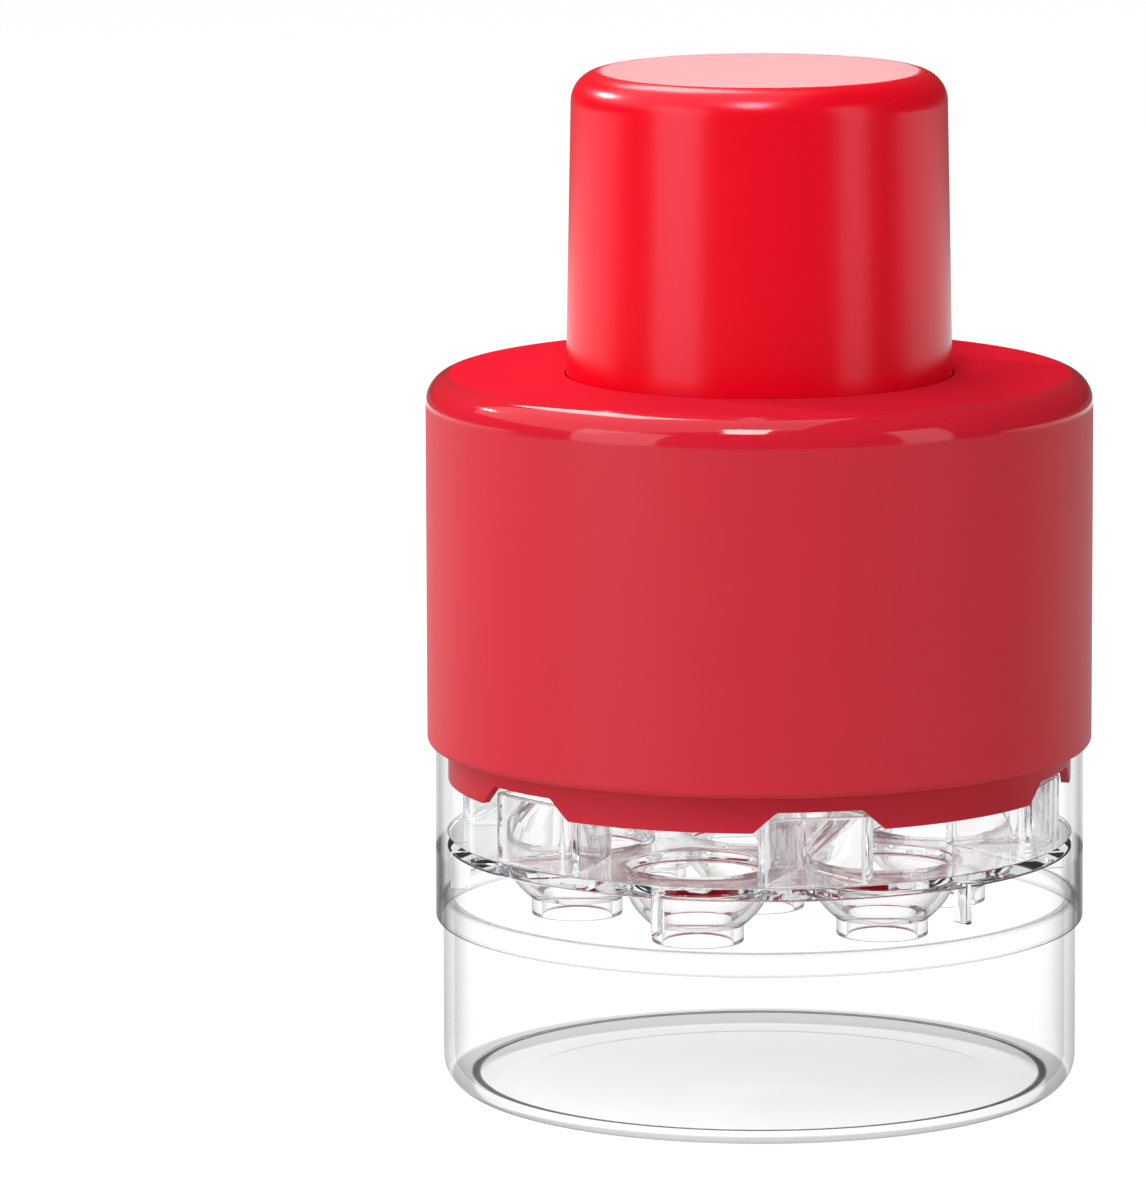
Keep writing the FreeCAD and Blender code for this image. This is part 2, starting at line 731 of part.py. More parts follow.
def make_screws(name, circle, head_level):
    """Three pan-head screws on a circle, heads below, turned into their bosses from underneath."""
    body = new_body(name)
    body.AllowCompound = True
    profile = new_sketch(body, f"{name}_profile", along=circle)
    head_bottom = head_level - d.screw_head_thick
    point = head_level + d.screw_length
    draw_outline(profile, [
        (0, head_bottom),
        (d.screw_head, head_bottom),
        (d.screw_head, head_level),
        (d.screw_radius, head_level),
        (d.screw_radius, point - d.screw_radius),
        (0, point),
    ])
    screw = revolve(body, f"{name}_screw", profile)
    slot_sketch = new_sketch(body, f"{name}_slot_outline", "XY_Plane", raised=head_bottom - 1)
    slot_half = d.screw_slot * 0.5
    draw_outline(slot_sketch, [
        (circle - d.screw_head * 0.7, -slot_half),
        (circle + d.screw_head * 0.7, -slot_half),
        (circle + d.screw_head * 0.7, slot_half),
        (circle - d.screw_head * 0.7, slot_half),
    ])
    slot = extrude(body, f"{name}_slot", slot_sketch, d.screw_slot_depth + 1, cut=True)
    around(body, f"{name}_ring", [screw, slot], SCREWS)
    body.Placement = Placement(Vector(0, 0, 0), Rotation(Vector(0, 0, 1), POST_TURN))


def spring_point(turns, total, bottom, height):
    """Middle of the wire after so many turns. The end turns climb little, and the active ones the rest."""
    wire = d.spring_wire.value
    end_pitch = wire + END_TURN_GAP
    end_climb = min(turns, END_TURNS) * end_pitch + max(0.0, turns - (total - END_TURNS)) * end_pitch
    active_pitch = (height - wire - 2 * END_TURNS * end_pitch) / ACTIVE_TURNS
    climb = end_climb + min(max(turns - END_TURNS, 0.0), ACTIVE_TURNS) * active_pitch
    angle = 2 * math.pi * turns
    radius = d.spring_radius.value
    return Vector(radius * math.cos(angle), radius * math.sin(angle), bottom + wire / 2 + climb)


def arc_through(start, corner, end):
    """The arc that leaves start towards corner and reaches end, with both tangents equally long."""
    middle = (start + end) * 0.5
    half_chord = (end - start).Length / 2
    height = (corner - middle).Length
    side = math.hypot(half_chord, height)
    rise = half_chord * (1 - half_chord / side) / (height / side)
    crown = middle + (corner - middle).normalize() * rise
    return Part.Arc(start, crown, end).toShape()


def spring_arcs(points, tangents):
    """Two tangent arcs between each point of the coil and the next."""
    arcs = []
    for start, end, leave, arrive in zip(points, points[1:], tangents, tangents[1:]):
        chord = end - start
        bend = 2 * (1 - leave.dot(arrive))
        lean = chord.dot(leave + arrive)
        reach = (-lean + math.sqrt(lean * lean + bend * chord.dot(chord))) / bend
        first, second = start + leave * reach, end - arrive * reach
        joint = (first + second) * 0.5
        arcs += [arc_through(start, first, joint), arc_through(joint, second, end)]
    return arcs


def make_return_spring():
    """The coil spring between guide plate and plunger plate, one unbroken wire."""
    feature = doc.addObject("Part::Feature", "return_spring")
    feature.Label = "return_spring"
    bottom = disc_top.value
    height = carrier_bottom.value - bottom
    total = ACTIVE_TURNS + 2 * END_TURNS
    steps = total * STEPS_PER_TURN
    spots = [spring_point(i / STEPS_PER_TURN, total, bottom, height) for i in range(steps + 1)]
    tangents = []
    for i, spot in enumerate(spots):
        before, after = spots[max(i - 1, 0)], spots[min(i + 1, steps)]
        span = (min(i + 1, steps) - max(i - 1, 0)) / STEPS_PER_TURN
        climb = (after.z - before.z) / span / (2 * math.pi)
        tangents.append(Vector(-spot.y, spot.x, climb).normalize())
    edges = spring_arcs(spots, tangents)
    wire_radius = d.spring_wire.value / 2
    section = Part.Wire(Part.Circle(spots[0], tangents[0], wire_radius).toShape())
    tube = Part.Wire(edges).makePipeShell([section], True, False)
    length = sum(edge.Length for edge in edges)
    ratio = tube.Volume / (math.pi * wire_radius ** 2 * length)
    if not 0.98 < ratio < 1.02:
        raise RuntimeError(f"return_spring: volume is {ratio:.3f} of section times length")
    gap = spring_gap(edges)
    print(f"return_spring: wire {length:.0f} long, least gap to itself {gap:.2f}")
    if gap <= LEAST_SPRING_GAP:
        raise RuntimeError("return_spring: its turns are too close")
    feature.Shape = tube
    feature.Placement = Placement()


def spring_gap(edges):
    """Least clear distance between points of the wire that are more than half a turn apart."""
    samples = [edge.valueAt(edge.FirstParameter + (edge.LastParameter - edge.FirstParameter) * k / 4)
               for edge in edges for k in range(4)]
    apart = 2 * STEPS_PER_TURN * 4 // 2
    least = min((samples[i] - samples[j]).Length
                for i in range(len(samples)) for j in range(i + apart, len(samples)))
    return least - d.spring_wire.value


make_pit_cup()
make_cherry_tray()
make_housing()
make_guide_plate()
make_press_cap()
make_plunger_plate()
make_plunger("plunger_centre", None)
for seat in range(SEATS):
    make_plunger(f"plunger_{seat + 1}", seat)
make_return_spring()
make_screws("guide_plate_screws", boss_circle, tray_rim)
make_screws("cap_screws", d.cap_boss_circle, carrier_bottom)
doc.recompute()

NODES = ["pit_cup", "cherry_tray", "housing", "guide_plate", "press_cap", "plunger_plate", "plunger_centre"]
NODES += [f"plunger_{seat + 1}" for seat in range(SEATS)]
NODES += ["return_spring", "guide_plate_screws", "cap_screws"]

for item in doc.Objects:
    if "Invalid" in item.State or "Error" in item.State:
        raise RuntimeError(f"{item.Label} failed: {item.State}")
shapes = {name: doc.getObjectsByLabel(name)[0].Shape for name in NODES}
for name, shape in shapes.items():
    if shape.isNull() or not shape.isValid() or not shape.Solids:
        raise RuntimeError(f"{name} has no valid solid")
os.makedirs("parts", exist_ok=True)
for name, shape in shapes.items():
    box = shape.BoundBox
    print(f"{name}: {len(shape.Solids)} solid, {shape.Volume / 1000:.2f} cm3, z {box.ZMin:.2f} to {box.ZMax:.2f}")
    shape.exportStep(f"parts/{name}.step")
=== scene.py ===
import math

import bmesh
import bpy
import numpy as np
from mathutils import Matrix, Vector


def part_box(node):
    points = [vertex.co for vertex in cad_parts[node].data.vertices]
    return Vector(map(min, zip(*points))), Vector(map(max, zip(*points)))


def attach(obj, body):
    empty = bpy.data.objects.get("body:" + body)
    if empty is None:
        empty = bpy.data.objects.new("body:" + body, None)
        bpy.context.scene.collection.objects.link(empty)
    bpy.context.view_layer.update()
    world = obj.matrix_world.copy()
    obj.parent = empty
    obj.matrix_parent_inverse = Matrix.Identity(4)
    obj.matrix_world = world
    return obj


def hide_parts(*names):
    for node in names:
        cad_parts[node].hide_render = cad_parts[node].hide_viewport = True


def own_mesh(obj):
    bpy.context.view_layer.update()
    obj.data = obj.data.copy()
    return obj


# Push-down pitter for seven cherries: a clear pit cup, a clear cherry tray on its rim, a red upper unit on
# the tray, and a glossy red cap that drives seven plungers through the seven bowls.
# Metres, +Z up, origin at the centre of the cup's base, one post of the tray at -Y.

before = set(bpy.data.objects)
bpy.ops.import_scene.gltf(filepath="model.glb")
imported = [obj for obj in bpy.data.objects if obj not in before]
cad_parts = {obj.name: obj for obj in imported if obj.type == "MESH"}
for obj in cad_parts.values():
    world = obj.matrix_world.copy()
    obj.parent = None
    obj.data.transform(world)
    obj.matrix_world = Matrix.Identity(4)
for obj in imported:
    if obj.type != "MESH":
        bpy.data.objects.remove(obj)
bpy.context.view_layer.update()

MM = 0.001
TAU = 2 * math.pi


def top_of(node):
    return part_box(node)[1].z


def bottom_of(node):
    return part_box(node)[0].z


def radius_of(node):
    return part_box(node)[1].x


# Levels and radii read from the frame, from the bottom up
CUP_RADIUS = radius_of("pit_cup")
CUP_TOP = top_of("pit_cup")
TRAY_RADIUS = radius_of("cherry_tray")
TRAY_RIM = top_of("cherry_tray")
SKIRT_BOTTOM = bottom_of("cherry_tray")
LIP_BOTTOM = bottom_of("guide_plate")
TUBE_TOP = top_of("guide_plate")
DISC_RADIUS = radius_of("guide_plate")
HOUSING_RADIUS = radius_of("housing")
SHOULDER_TOP = top_of("housing")
CAP_TOP = top_of("press_cap")
FLANGE_BOTTOM = bottom_of("press_cap")
FLANGE_RADIUS = radius_of("press_cap")
TIP_BOTTOM = bottom_of("plunger_centre")
SPRING_BOTTOM = bottom_of("return_spring")
SPRING_TOP = top_of("return_spring")

# Pit cup
CUP_WALL = 2.0 * MM
CUP_FLOOR = 2.3 * MM
CUP_CORNER = 6.1 * MM
FOOT_RADIUS = 44.7 * MM
FOOT_RECESS = 0.35 * MM

# Cherry tray
TRAY_WALL = 2.1 * MM
SKIRT_WALL = 1.15 * MM
SKIRT_ROUND = 0.8 * MM
PLATE_BOTTOM = CUP_TOP + 9.6 * MM
PLATE_TOP = PLATE_BOTTOM + 2.0 * MM
SEAT_CIRCLE = 34.3 * MM
BOWL_RADIUS = 12.8 * MM
BOWL_WALL = 1.5 * MM
BOWL_CENTRE = PLATE_TOP + 0.4 * MM
BOWL_FILLET = 0.9 * MM
EXIT_RADIUS = 6.5 * MM
COLLAR_RADIUS = EXIT_RADIUS + 1.9 * MM
COLLAR_BOTTOM = BOWL_CENTRE - BOWL_RADIUS - BOWL_WALL - 0.4 * MM
POST_TOP = PLATE_TOP + 12.4 * MM
POST_FACE = TRAY_RADIUS - TRAY_WALL - 2.4 * MM
POST_HALF = 8.05 * MM
POST_CORNER = 2.5 * MM
POST_WALL = 1.7 * MM
FIN_DEPTH = 3.6 * MM
FIN_THICK = 1.4 * MM
FIN_DROP = 7.1 * MM
SEATS = 6
POSTS = 6

# Housing and guide plate
HOUSING_WALL = 2.2 * MM
SHOULDER_ROUND = 5.3 * MM
SHOULDER_BOTTOM = SHOULDER_TOP - 2.5 * MM
FOOT_ROUND = 1.4 * MM
CAP_BASE_RADIUS = 35.55 * MM
OPENING_RADIUS = CAP_BASE_RADIUS + 0.2 * MM
BOSS_RADIUS = 4.0 * MM
BOSS_CIRCLE = FLANGE_RADIUS + 8.0 * MM
WEB_THICK = 2.0 * MM
DISC_TOP = TRAY_RIM + 2.5 * MM
LIP_RADIUS = TRAY_RADIUS - TRAY_WALL - 0.3 * MM
LIP_WALL = 1.6 * MM
NOTCH_RISE = 3.8 * MM
NOTCH_LOW = 12.15 * MM
NOTCH_HIGH = 7.9 * MM
TUBE_BORE = 4.1 * MM
TUBE_RADIUS = TUBE_BORE + 2.1 * MM
TUBE_BOTTOM = TRAY_RIM - 2.0 * MM

# Press cap, plunger plate and plungers
CAP_TOP_RADIUS = CAP_BASE_RADIUS - 1.1 * MM
CAP_ROUND = 5.6 * MM
CAP_WALL = 2.2 * MM
FLANGE_TOP = FLANGE_BOTTOM + 2.5 * MM
CORE_RADIUS = 7.0 * MM
CORE_BORE = 4.5 * MM
CAP_BOSS_CIRCLE = 20.0 * MM
CAP_WEB_RISE = 40.0 * MM
CARRIER_BOTTOM = FLANGE_BOTTOM - 4.0 * MM
PLUNGER_RADIUS = 4.0 * MM
PLUNGER_HEAD = 6.0 * MM
HEAD_LEVEL = FLANGE_BOTTOM - 2.5 * MM
TIP_RADIUS = 3.6 * MM
TIP_LENGTH = 6.0 * MM
CROWN_DEPTH = 2.6 * MM
CROWN_LIP = 0.9 * MM
CROWN_SLOT = 1.6 * MM

# Return spring and screws
SPRING_RADIUS = 12.0 * MM
SPRING_WIRE = 1.6 * MM
ACTIVE_TURNS = 7
END_TURN_PITCH = SPRING_WIRE + 0.55 * MM
SEAT_RING = SPRING_RADIUS + SPRING_WIRE / 2 + 0.5 * MM
SEAT_RING_WALL = 1.5 * MM
SEAT_RING_HEIGHT = 2.0 * MM
SCREWS = 3
SCREW_RADIUS = 1.5 * MM
SCREW_LENGTH = 12.0 * MM
SCREW_HEAD = 2.8 * MM
SCREW_HEAD_THICK = 2.0 * MM
SCREW_SLOT = 0.9 * MM
SCREW_SLOT_DEPTH = 1.0 * MM
SCREW_HOLE = 1.7 * MM
PILOT_RADIUS = 1.55 * MM
PILOT_DEPTH = 14.0 * MM

# Fineness of the surfaces
ROUND_STEPS = 256
SMALL_STEPS = 64
ARC_STEP = math.radians(7.5)
SHARP = math.radians(32)
GUARD = 0.12 * MM
MERGE = 0.0005 * MM

# How far joined shapes reach into each other, and how far a cut runs past a surface
OVERLAP = 0.4 * MM
BEYOND = 1.0 * MM

# The first post and the first screw stand this far round from +X
POST_TURN = math.pi / POSTS

# The photograph's view: azimuth 0 looks from -Y, and positive azimuths look from +X
MIDDLE = Vector((0, 0, 0.0909))
VIEW_AZIMUTH = -11.0
VIEW_ELEVATION = 9.31
VIEW_DISTANCE = 1.774
FOCAL_PIXELS = 9603
FRAME_HEIGHT_PIXELS = 1200
AXIS_RIGHT_PIXELS = 186.2
SENSOR = 36.0


class Shape:
    """Points and faces of closed surfaces, before they become a mesh."""

    def __init__(self, points, faces):
        self.points = points
        self.faces = faces

    def __add__(self, other):
        shift = len(self.points)
        moved = [[i + shift for i in face] for face in other.faces]
        return Shape(np.vstack([self.points, other.points]), self.faces + moved)

    def moved(self, x=0.0, y=0.0, z=0.0):
        return Shape(self.points + np.array([x, y, z]), self.faces)

    def spun(self, angle):
        """Turned about Z: x cos a - y sin a, x sin a + y cos a."""
        x, y, z = self.points.T
        turned = [x * math.cos(angle) - y * math.sin(angle), x * math.sin(angle) + y * math.cos(angle), z]
        return Shape(np.stack(turned, 1), self.faces)

    def around(self, count, start=0.0):
        """Copies evenly round the axis, the first turned by start."""
        ring = self.spun(start)
        for k in range(1, count):
            ring = ring + self.spun(start + TAU * k / count)
        return ring


def woven(grid, ring=False, capped=False):
    """The faces over a grid of points (rows, columns, 3) whose columns close into loops.

    Row i, column j joins row i + 1, column j + 1. ring also joins the last row to the first, and capped
    closes the first and last rows with one flat face each.
    """
    rows, columns = grid.shape[:2]
    i = np.arange(rows if ring else rows - 1)[:, None]
    j = np.arange(columns)[None, :]
    after = (j + 1) % columns
    above = (i + 1) % rows * columns
    below = i * columns
    quads = np.stack([below + j, below + after, above + after, above + j], -1)
    faces = quads.reshape(-1, 4).tolist()
    if capped:
        faces.append(list(range(columns))[::-1])
        faces.append([(rows - 1) * columns + k for k in range(columns)])
    return Shape(grid.reshape(-1, 3), faces)


def arc(x, y, radius, start, end):
    """Points on a circle about (x, y) from one angle to another, both in degrees."""
    start, end = math.radians(start), math.radians(end)
    angles = np.linspace(start, end, max(4, math.ceil(abs(end - start) / ARC_STEP)) + 1)
    return np.stack([x + radius * np.cos(angles), y + radius * np.sin(angles)], 1)


def rounded(*corners):
    """A closed outline through corners (x, y, radius), each rounded by an arc tangent to both of its sides.

    The arc's centre is radius / sin(half the corner's angle) from the corner along its bisector. A guard
    point stands a little way off each end of the arc, so that smooth shading keeps the straight sides
    straight.
    """
    outline = []
    count = len(corners)
    for k, (x, y, radius) in enumerate(corners):
        spot = np.array([x, y])
        back = np.array(corners[k - 1][:2]) - spot
        ahead = np.array(corners[(k + 1) % count][:2]) - spot
        if radius == 0:
            outline.append(spot[None, :])
            continue
        back = back / np.linalg.norm(back)
        ahead = ahead / np.linalg.norm(ahead)
        half = math.acos(np.clip(back @ ahead, -1, 1)) / 2
        reach = radius / math.tan(half)
        middle = spot + (back + ahead) / np.linalg.norm(back + ahead) * radius / math.sin(half)
        first = spot + back * reach - middle
        turn = math.pi - 2 * half
        side = math.copysign(1.0, back[1] * ahead[0] - back[0] * ahead[1])
        steps = max(3, math.ceil(turn / ARC_STEP))
        angles = math.atan2(first[1], first[0]) + side * np.linspace(0, turn, steps + 1)
        outline.append((spot + back * (reach + GUARD))[None, :])
        outline.append(middle + radius * np.stack([np.cos(angles), np.sin(angles)], 1))
        outline.append((spot + ahead * (reach + GUARD))[None, :])
    return np.vstack(outline)


def turned(profile, steps=ROUND_STEPS, ring=False):
    """A surface of revolution: profile point (r, z) at angle a stands at (r cos a, r sin a, z).

    A profile that starts and ends on the axis closes there. ring is for one that is a loop off the axis.
    """
    angles = np.arange(steps) * TAU / steps
    r, z = profile.T
    grid = np.stack([
        r[:, None] * np.cos(angles)[None, :],
        r[:, None] * np.sin(angles)[None, :],
        np.repeat(z[:, None], steps, 1),
    ], -1)
    return woven(grid, ring=ring)


def column(centres, radius, rows, steps=6):
    """An upright convex column.

    centres are those of its corner circles, anticlockwise, and a single one makes a round column. rows are
    (change of radius, height) from the bottom up. A point stands at its corner's centre plus the row's
    radius along the corner's arc, which runs from the outward normal of the side before it to that of the
    side after it.
    """
    centres = np.array(centres, float)
    if len(centres) == 1:
        angles = np.arange(SMALL_STEPS) * TAU / SMALL_STEPS
        middles = np.repeat(centres, SMALL_STEPS, 0)
    else:
        sides = np.roll(centres, -1, 0) - centres
        normals = np.arctan2(-sides[:, 0], sides[:, 1])
        before = np.roll(normals, 1)
        turn = (normals - before) % TAU
        angles = (before[:, None] + turn[:, None] * np.linspace(0, 1, steps + 1)[None, :]).ravel()
        middles = np.repeat(centres, steps + 1, 0)
    change, height = np.array(rows, float).T
    reach = (radius + change)[:, None]
    grid = np.stack([
        middles[None, :, 0] + reach * np.cos(angles)[None, :],
        middles[None, :, 1] + reach * np.sin(angles)[None, :],
        np.repeat(height[:, None], len(angles), 1),
    ], -1)
    return woven(grid, capped=True)


def edge_rows(level, size, up=True, inward=True):
    """Rows of a column for a quarter-round at one end.

    At angle a the radius has changed by size (1 - cos a), and the height by size sin a.
    """
    turn = np.linspace(0, math.pi / 2, 6)
    change = size * (1 - np.cos(turn)) * (-1 if inward else 1)
    rise = size * np.sin(turn) - size
    rows = list(zip(change, level + rise if up else level - rise))
    return rows if up else rows[::-1]


def block(low, high):
    """A plain box between two corners, as a four-cornered column."""
    corners = [(low[0], low[1]), (high[0], low[1]), (high[0], high[1]), (low[0], high[1])]
    return column(corners, 0.0, [(0, low[2]), (0, high[2])])


def clean(mesh):
    """Merge doubled points, drop the faces that this flattens, and turn the rest outwards."""
    work = bmesh.new()
    work.from_mesh(mesh)
    bmesh.ops.remove_doubles(work, verts=work.verts, dist=MERGE)
    bmesh.ops.dissolve_degenerate(work, edges=work.edges, dist=MERGE)
    bmesh.ops.recalc_face_normals(work, faces=work.faces)
    work.to_mesh(mesh)
    work.free()


def raw_object(name, shape):
    """A mesh object of a shape."""
    mesh = bpy.data.meshes.new(name)
    mesh.from_pydata(shape.points.tolist(), [], shape.faces)
    clean(mesh)
    thing = bpy.data.objects.new(name, mesh)
    bpy.context.scene.collection.objects.link(thing)
    return thing


def smooth(piece):
    """Smooth shading, apart from the edges that turn more than SHARP."""
    piece.data.shade_smooth()
    piece.data.set_sharp_from_angle(angle=SHARP)


def solid(name, base, joined=(), cut=None):
    """A piece from a base shape, with the joined shapes added to it in turn and then one shape cut out."""
    piece = raw_object(name, base)
    steps = [("UNION", shape) for shape in joined]
    if cut is not None:
        steps.append(("DIFFERENCE", cut))
    helpers = []
    for k, (operation, shape) in enumerate(steps):
        helper = raw_object(f"{name}_helper_{k}", shape)
        helpers.append(helper)
        step = piece.modifiers.new(f"step_{k}", "BOOLEAN")
        step.operation = operation
        step.solver = "MANIFOLD"
        step.object = helper
    if helpers:
        bpy.context.view_layer.update()
        finished = piece.evaluated_get(bpy.context.evaluated_depsgraph_get())
        result = bpy.data.meshes.new_from_object(finished)
        piece.modifiers.clear()
        rough = piece.data
        piece.data = result
        bpy.data.meshes.remove(rough)
        result.name = name
        clean(result)
        for helper in helpers:
            bpy.data.meshes.remove(helper.data)
    smooth(piece)
    return piece


# Pit cup and cherry tray
def make_pit_cup():
    """A clear cup with a rounded bottom corner inside and out."""
    inner = CUP_RADIUS - CUP_WALL
    profile = rounded(
        (0, FOOT_RECESS, 0),
        (FOOT_RADIUS, FOOT_RECESS, 0),
        (FOOT_RADIUS + 0.6 * MM, 0, 0),
        (CUP_RADIUS, 0, CUP_CORNER),
        (CUP_RADIUS, CUP_TOP, 0.5 * MM),
        (inner, CUP_TOP, 0.3 * MM),
        (inner, CUP_FLOOR, CUP_CORNER - CUP_WALL),
        (0, CUP_FLOOR, 0),
    )
    return solid("pit_cup_shell", turned(profile))


def bowl_underside():
    """The solid under a bowl: a ball below the plate, with a fillet to the plate and the exit collar.

    The fillet's centre is the fillet's radius below the plate, and the ball's radius plus the fillet's from
    the ball's centre.
    """
    outer = BOWL_RADIUS + BOWL_WALL
    fillet_level = PLATE_BOTTOM - BOWL_FILLET
    drop = BOWL_CENTRE - fillet_level
    fillet_reach = math.sqrt((outer + BOWL_FILLET) ** 2 - drop ** 2)
    lean = math.degrees(math.atan2(-drop, fillet_reach))
    collar_lean = -math.degrees(math.acos(COLLAR_RADIUS / outer))
    edge = 0.35 * MM
    profile = np.vstack([
        [(0, COLLAR_BOTTOM)],
        [(COLLAR_RADIUS - edge - GUARD, COLLAR_BOTTOM)],
        arc(COLLAR_RADIUS - edge, COLLAR_BOTTOM + edge, edge, -90, 0),
        arc(0, BOWL_CENTRE, outer, collar_lean, lean),
        arc(fillet_reach, fillet_level, BOWL_FILLET, 180 + lean, 90),
        [(fillet_reach, PLATE_BOTTOM + OVERLAP)],
        [(0, PLATE_BOTTOM + OVERLAP)],
    ])
    return turned(profile, 2 * SMALL_STEPS)


def bowl_hollow():
    """What is cut from a bowl: the ball's hollow with a rounded mouth, and the exit hole in the collar."""
    edge = 0.4 * MM
    exit_lean = -math.degrees(math.acos(EXIT_RADIUS / BOWL_RADIUS))
    mouth = PLATE_TOP - edge
    mouth_lean = math.degrees(math.asin((mouth - BOWL_CENTRE) / BOWL_RADIUS))
    mouth_radius = BOWL_RADIUS * math.cos(math.radians(mouth_lean))
    profile = np.vstack([
        [(0, COLLAR_BOTTOM - BEYOND)],
        [(EXIT_RADIUS, COLLAR_BOTTOM - BEYOND)],
        arc(0, BOWL_CENTRE, BOWL_RADIUS, exit_lean, mouth_lean),
        arc(mouth_radius + edge, mouth, edge, 180, 90)[1:],
        [(mouth_radius + edge, PLATE_TOP + BEYOND)],
        [(0, PLATE_TOP + BEYOND)],
    ])
    return turned(profile, 2 * SMALL_STEPS)


def post_centres():
    """Corner circles of a post: an equilateral triangle, flat side outwards and its point to the axis."""
    outer = POST_FACE - POST_CORNER
    return [(outer - POST_HALF * math.sqrt(3), 0), (outer, -POST_HALF), (outer, POST_HALF)]


def make_cherry_tray():
    """One clear moulding: wall with its skirt, plate, seven bowls, six hollow posts and six fins."""
    inner = TRAY_RADIUS - TRAY_WALL
    skirt_inner = TRAY_RADIUS - SKIRT_WALL
    profile = rounded(
        (0, PLATE_BOTTOM, 0),
        (inner, PLATE_BOTTOM, 0.5 * MM),
        (inner, CUP_TOP, 0),
        (skirt_inner, CUP_TOP, 0),
        (skirt_inner, SKIRT_BOTTOM, 0.15 * MM),
        (TRAY_RADIUS, SKIRT_BOTTOM, SKIRT_ROUND),
        (TRAY_RADIUS, TRAY_RIM, 0.4 * MM),
        (inner, TRAY_RIM, 0.4 * MM),
        (inner, PLATE_TOP, 0.6 * MM),
        (0, PLATE_TOP, 0),
    )
    under = bowl_underside()
    edge = 0.35 * MM
    post = column(post_centres(), POST_CORNER, [(0, PLATE_TOP - OVERLAP)] + edge_rows(POST_TOP, edge), 10)
    fin_low = PLATE_BOTTOM - FIN_DROP
    half = FIN_THICK / 2 - edge
    near, far = inner - FIN_DEPTH + edge, inner + OVERLAP
    fin_centres = [(near, -half), (far, -half), (far, half), (near, half)]
    fin = column(fin_centres, edge, edge_rows(fin_low, edge, up=False) + [(0, PLATE_BOTTOM + OVERLAP)])
    bowls = under + under.moved(SEAT_CIRCLE).around(SEATS)
    joined = bowls + post.around(POSTS, POST_TURN) + fin.around(SEATS)

    hollow = bowl_hollow()
    well_radius = POST_CORNER - POST_WALL
    well_rows = [(0, PLATE_TOP)] + edge_rows(POST_TOP, edge, inward=False) + [(edge, POST_TOP + BEYOND)]
    well = column(post_centres(), well_radius, well_rows, 8)
    cut = hollow + hollow.moved(SEAT_CIRCLE).around(SEATS) + well.around(POSTS, POST_TURN)
    return solid("cherry_tray_moulding", turned(profile), [joined], cut)


# Upper unit
def post_like(circle, radius, low, high, start=POST_TURN, count=SCREWS):
    """Plain round columns or holes on a circle, one per screw."""
    return column([(0, 0)], radius, [(0, low), (0, high)]).moved(circle).around(count, start)


def make_housing():
    """The red casing: wall, rounded shoulder with the cap's opening, and three screw bosses inside."""
    inner = HOUSING_RADIUS - HOUSING_WALL
    profile = rounded(
        (inner, TRAY_RIM, 0.2 * MM),
        (HOUSING_RADIUS, TRAY_RIM, FOOT_ROUND),
        (HOUSING_RADIUS, SHOULDER_TOP, SHOULDER_ROUND),
        (OPENING_RADIUS, SHOULDER_TOP, 0.35 * MM),
        (OPENING_RADIUS, SHOULDER_BOTTOM, 0.2 * MM),
        (inner, SHOULDER_BOTTOM, SHOULDER_ROUND - HOUSING_WALL),
    )
    high = SHOULDER_BOTTOM + OVERLAP
    boss = column([(BOSS_CIRCLE, 0)], BOSS_RADIUS, [(0, DISC_TOP), (0, high)])
    web = block(
        (BOSS_CIRCLE + 2 * SCREW_RADIUS, -WEB_THICK / 2, DISC_TOP + 0.2 * MM),
        (inner + OVERLAP, WEB_THICK / 2, high - 0.1 * MM),
    )
    pilots = post_like(BOSS_CIRCLE, PILOT_RADIUS, DISC_TOP - BEYOND, DISC_TOP + PILOT_DEPTH)
    joined = [boss.around(SCREWS, POST_TURN), web.around(SCREWS, POST_TURN)]
    return solid("housing_casing", turned(profile, ring=True), joined, pilots)


def make_guide_plate():
    """The red plate under the housing: notched lip inside the tray's wall, seven tubes, spring seat."""
    edge = 0.25 * MM
    profile = rounded(
        (0, TRAY_RIM, 0),
        (LIP_RADIUS - LIP_WALL, TRAY_RIM, 0.5 * MM),
        (LIP_RADIUS - LIP_WALL, LIP_BOTTOM, edge),
        (LIP_RADIUS, LIP_BOTTOM, edge),
        (LIP_RADIUS, TRAY_RIM, 0),
        (DISC_RADIUS, TRAY_RIM, 0),
        (DISC_RADIUS, DISC_TOP, edge),
        (0, DISC_TOP, 0),
    )
    tube_rows = edge_rows(TUBE_BOTTOM, edge, up=False) + edge_rows(TUBE_TOP, edge)
    tube = column([(0, 0)], TUBE_RADIUS, tube_rows)
    seat = turned(rounded(
        (SEAT_RING, DISC_TOP - OVERLAP, 0),
        (SEAT_RING + SEAT_RING_WALL, DISC_TOP - OVERLAP, 0),
        (SEAT_RING + SEAT_RING_WALL, DISC_TOP + SEAT_RING_HEIGHT, edge),
        (SEAT_RING, DISC_TOP + SEAT_RING_HEIGHT, edge),
    ), ring=True)
    joined = tube + tube.moved(SEAT_CIRCLE).around(SEATS) + seat

    bore = column([(0, 0)], TUBE_BORE, [(0, TUBE_BOTTOM - BEYOND), (0, TUBE_TOP + BEYOND)])
    holes = post_like(BOSS_CIRCLE, SCREW_HOLE, TRAY_RIM - BEYOND, DISC_TOP + BEYOND)
    cut = bore + bore.moved(SEAT_CIRCLE).around(SEATS) + holes + notch().around(POSTS, POST_TURN)
    return solid("guide_plate_moulding", turned(profile), [joined], cut)


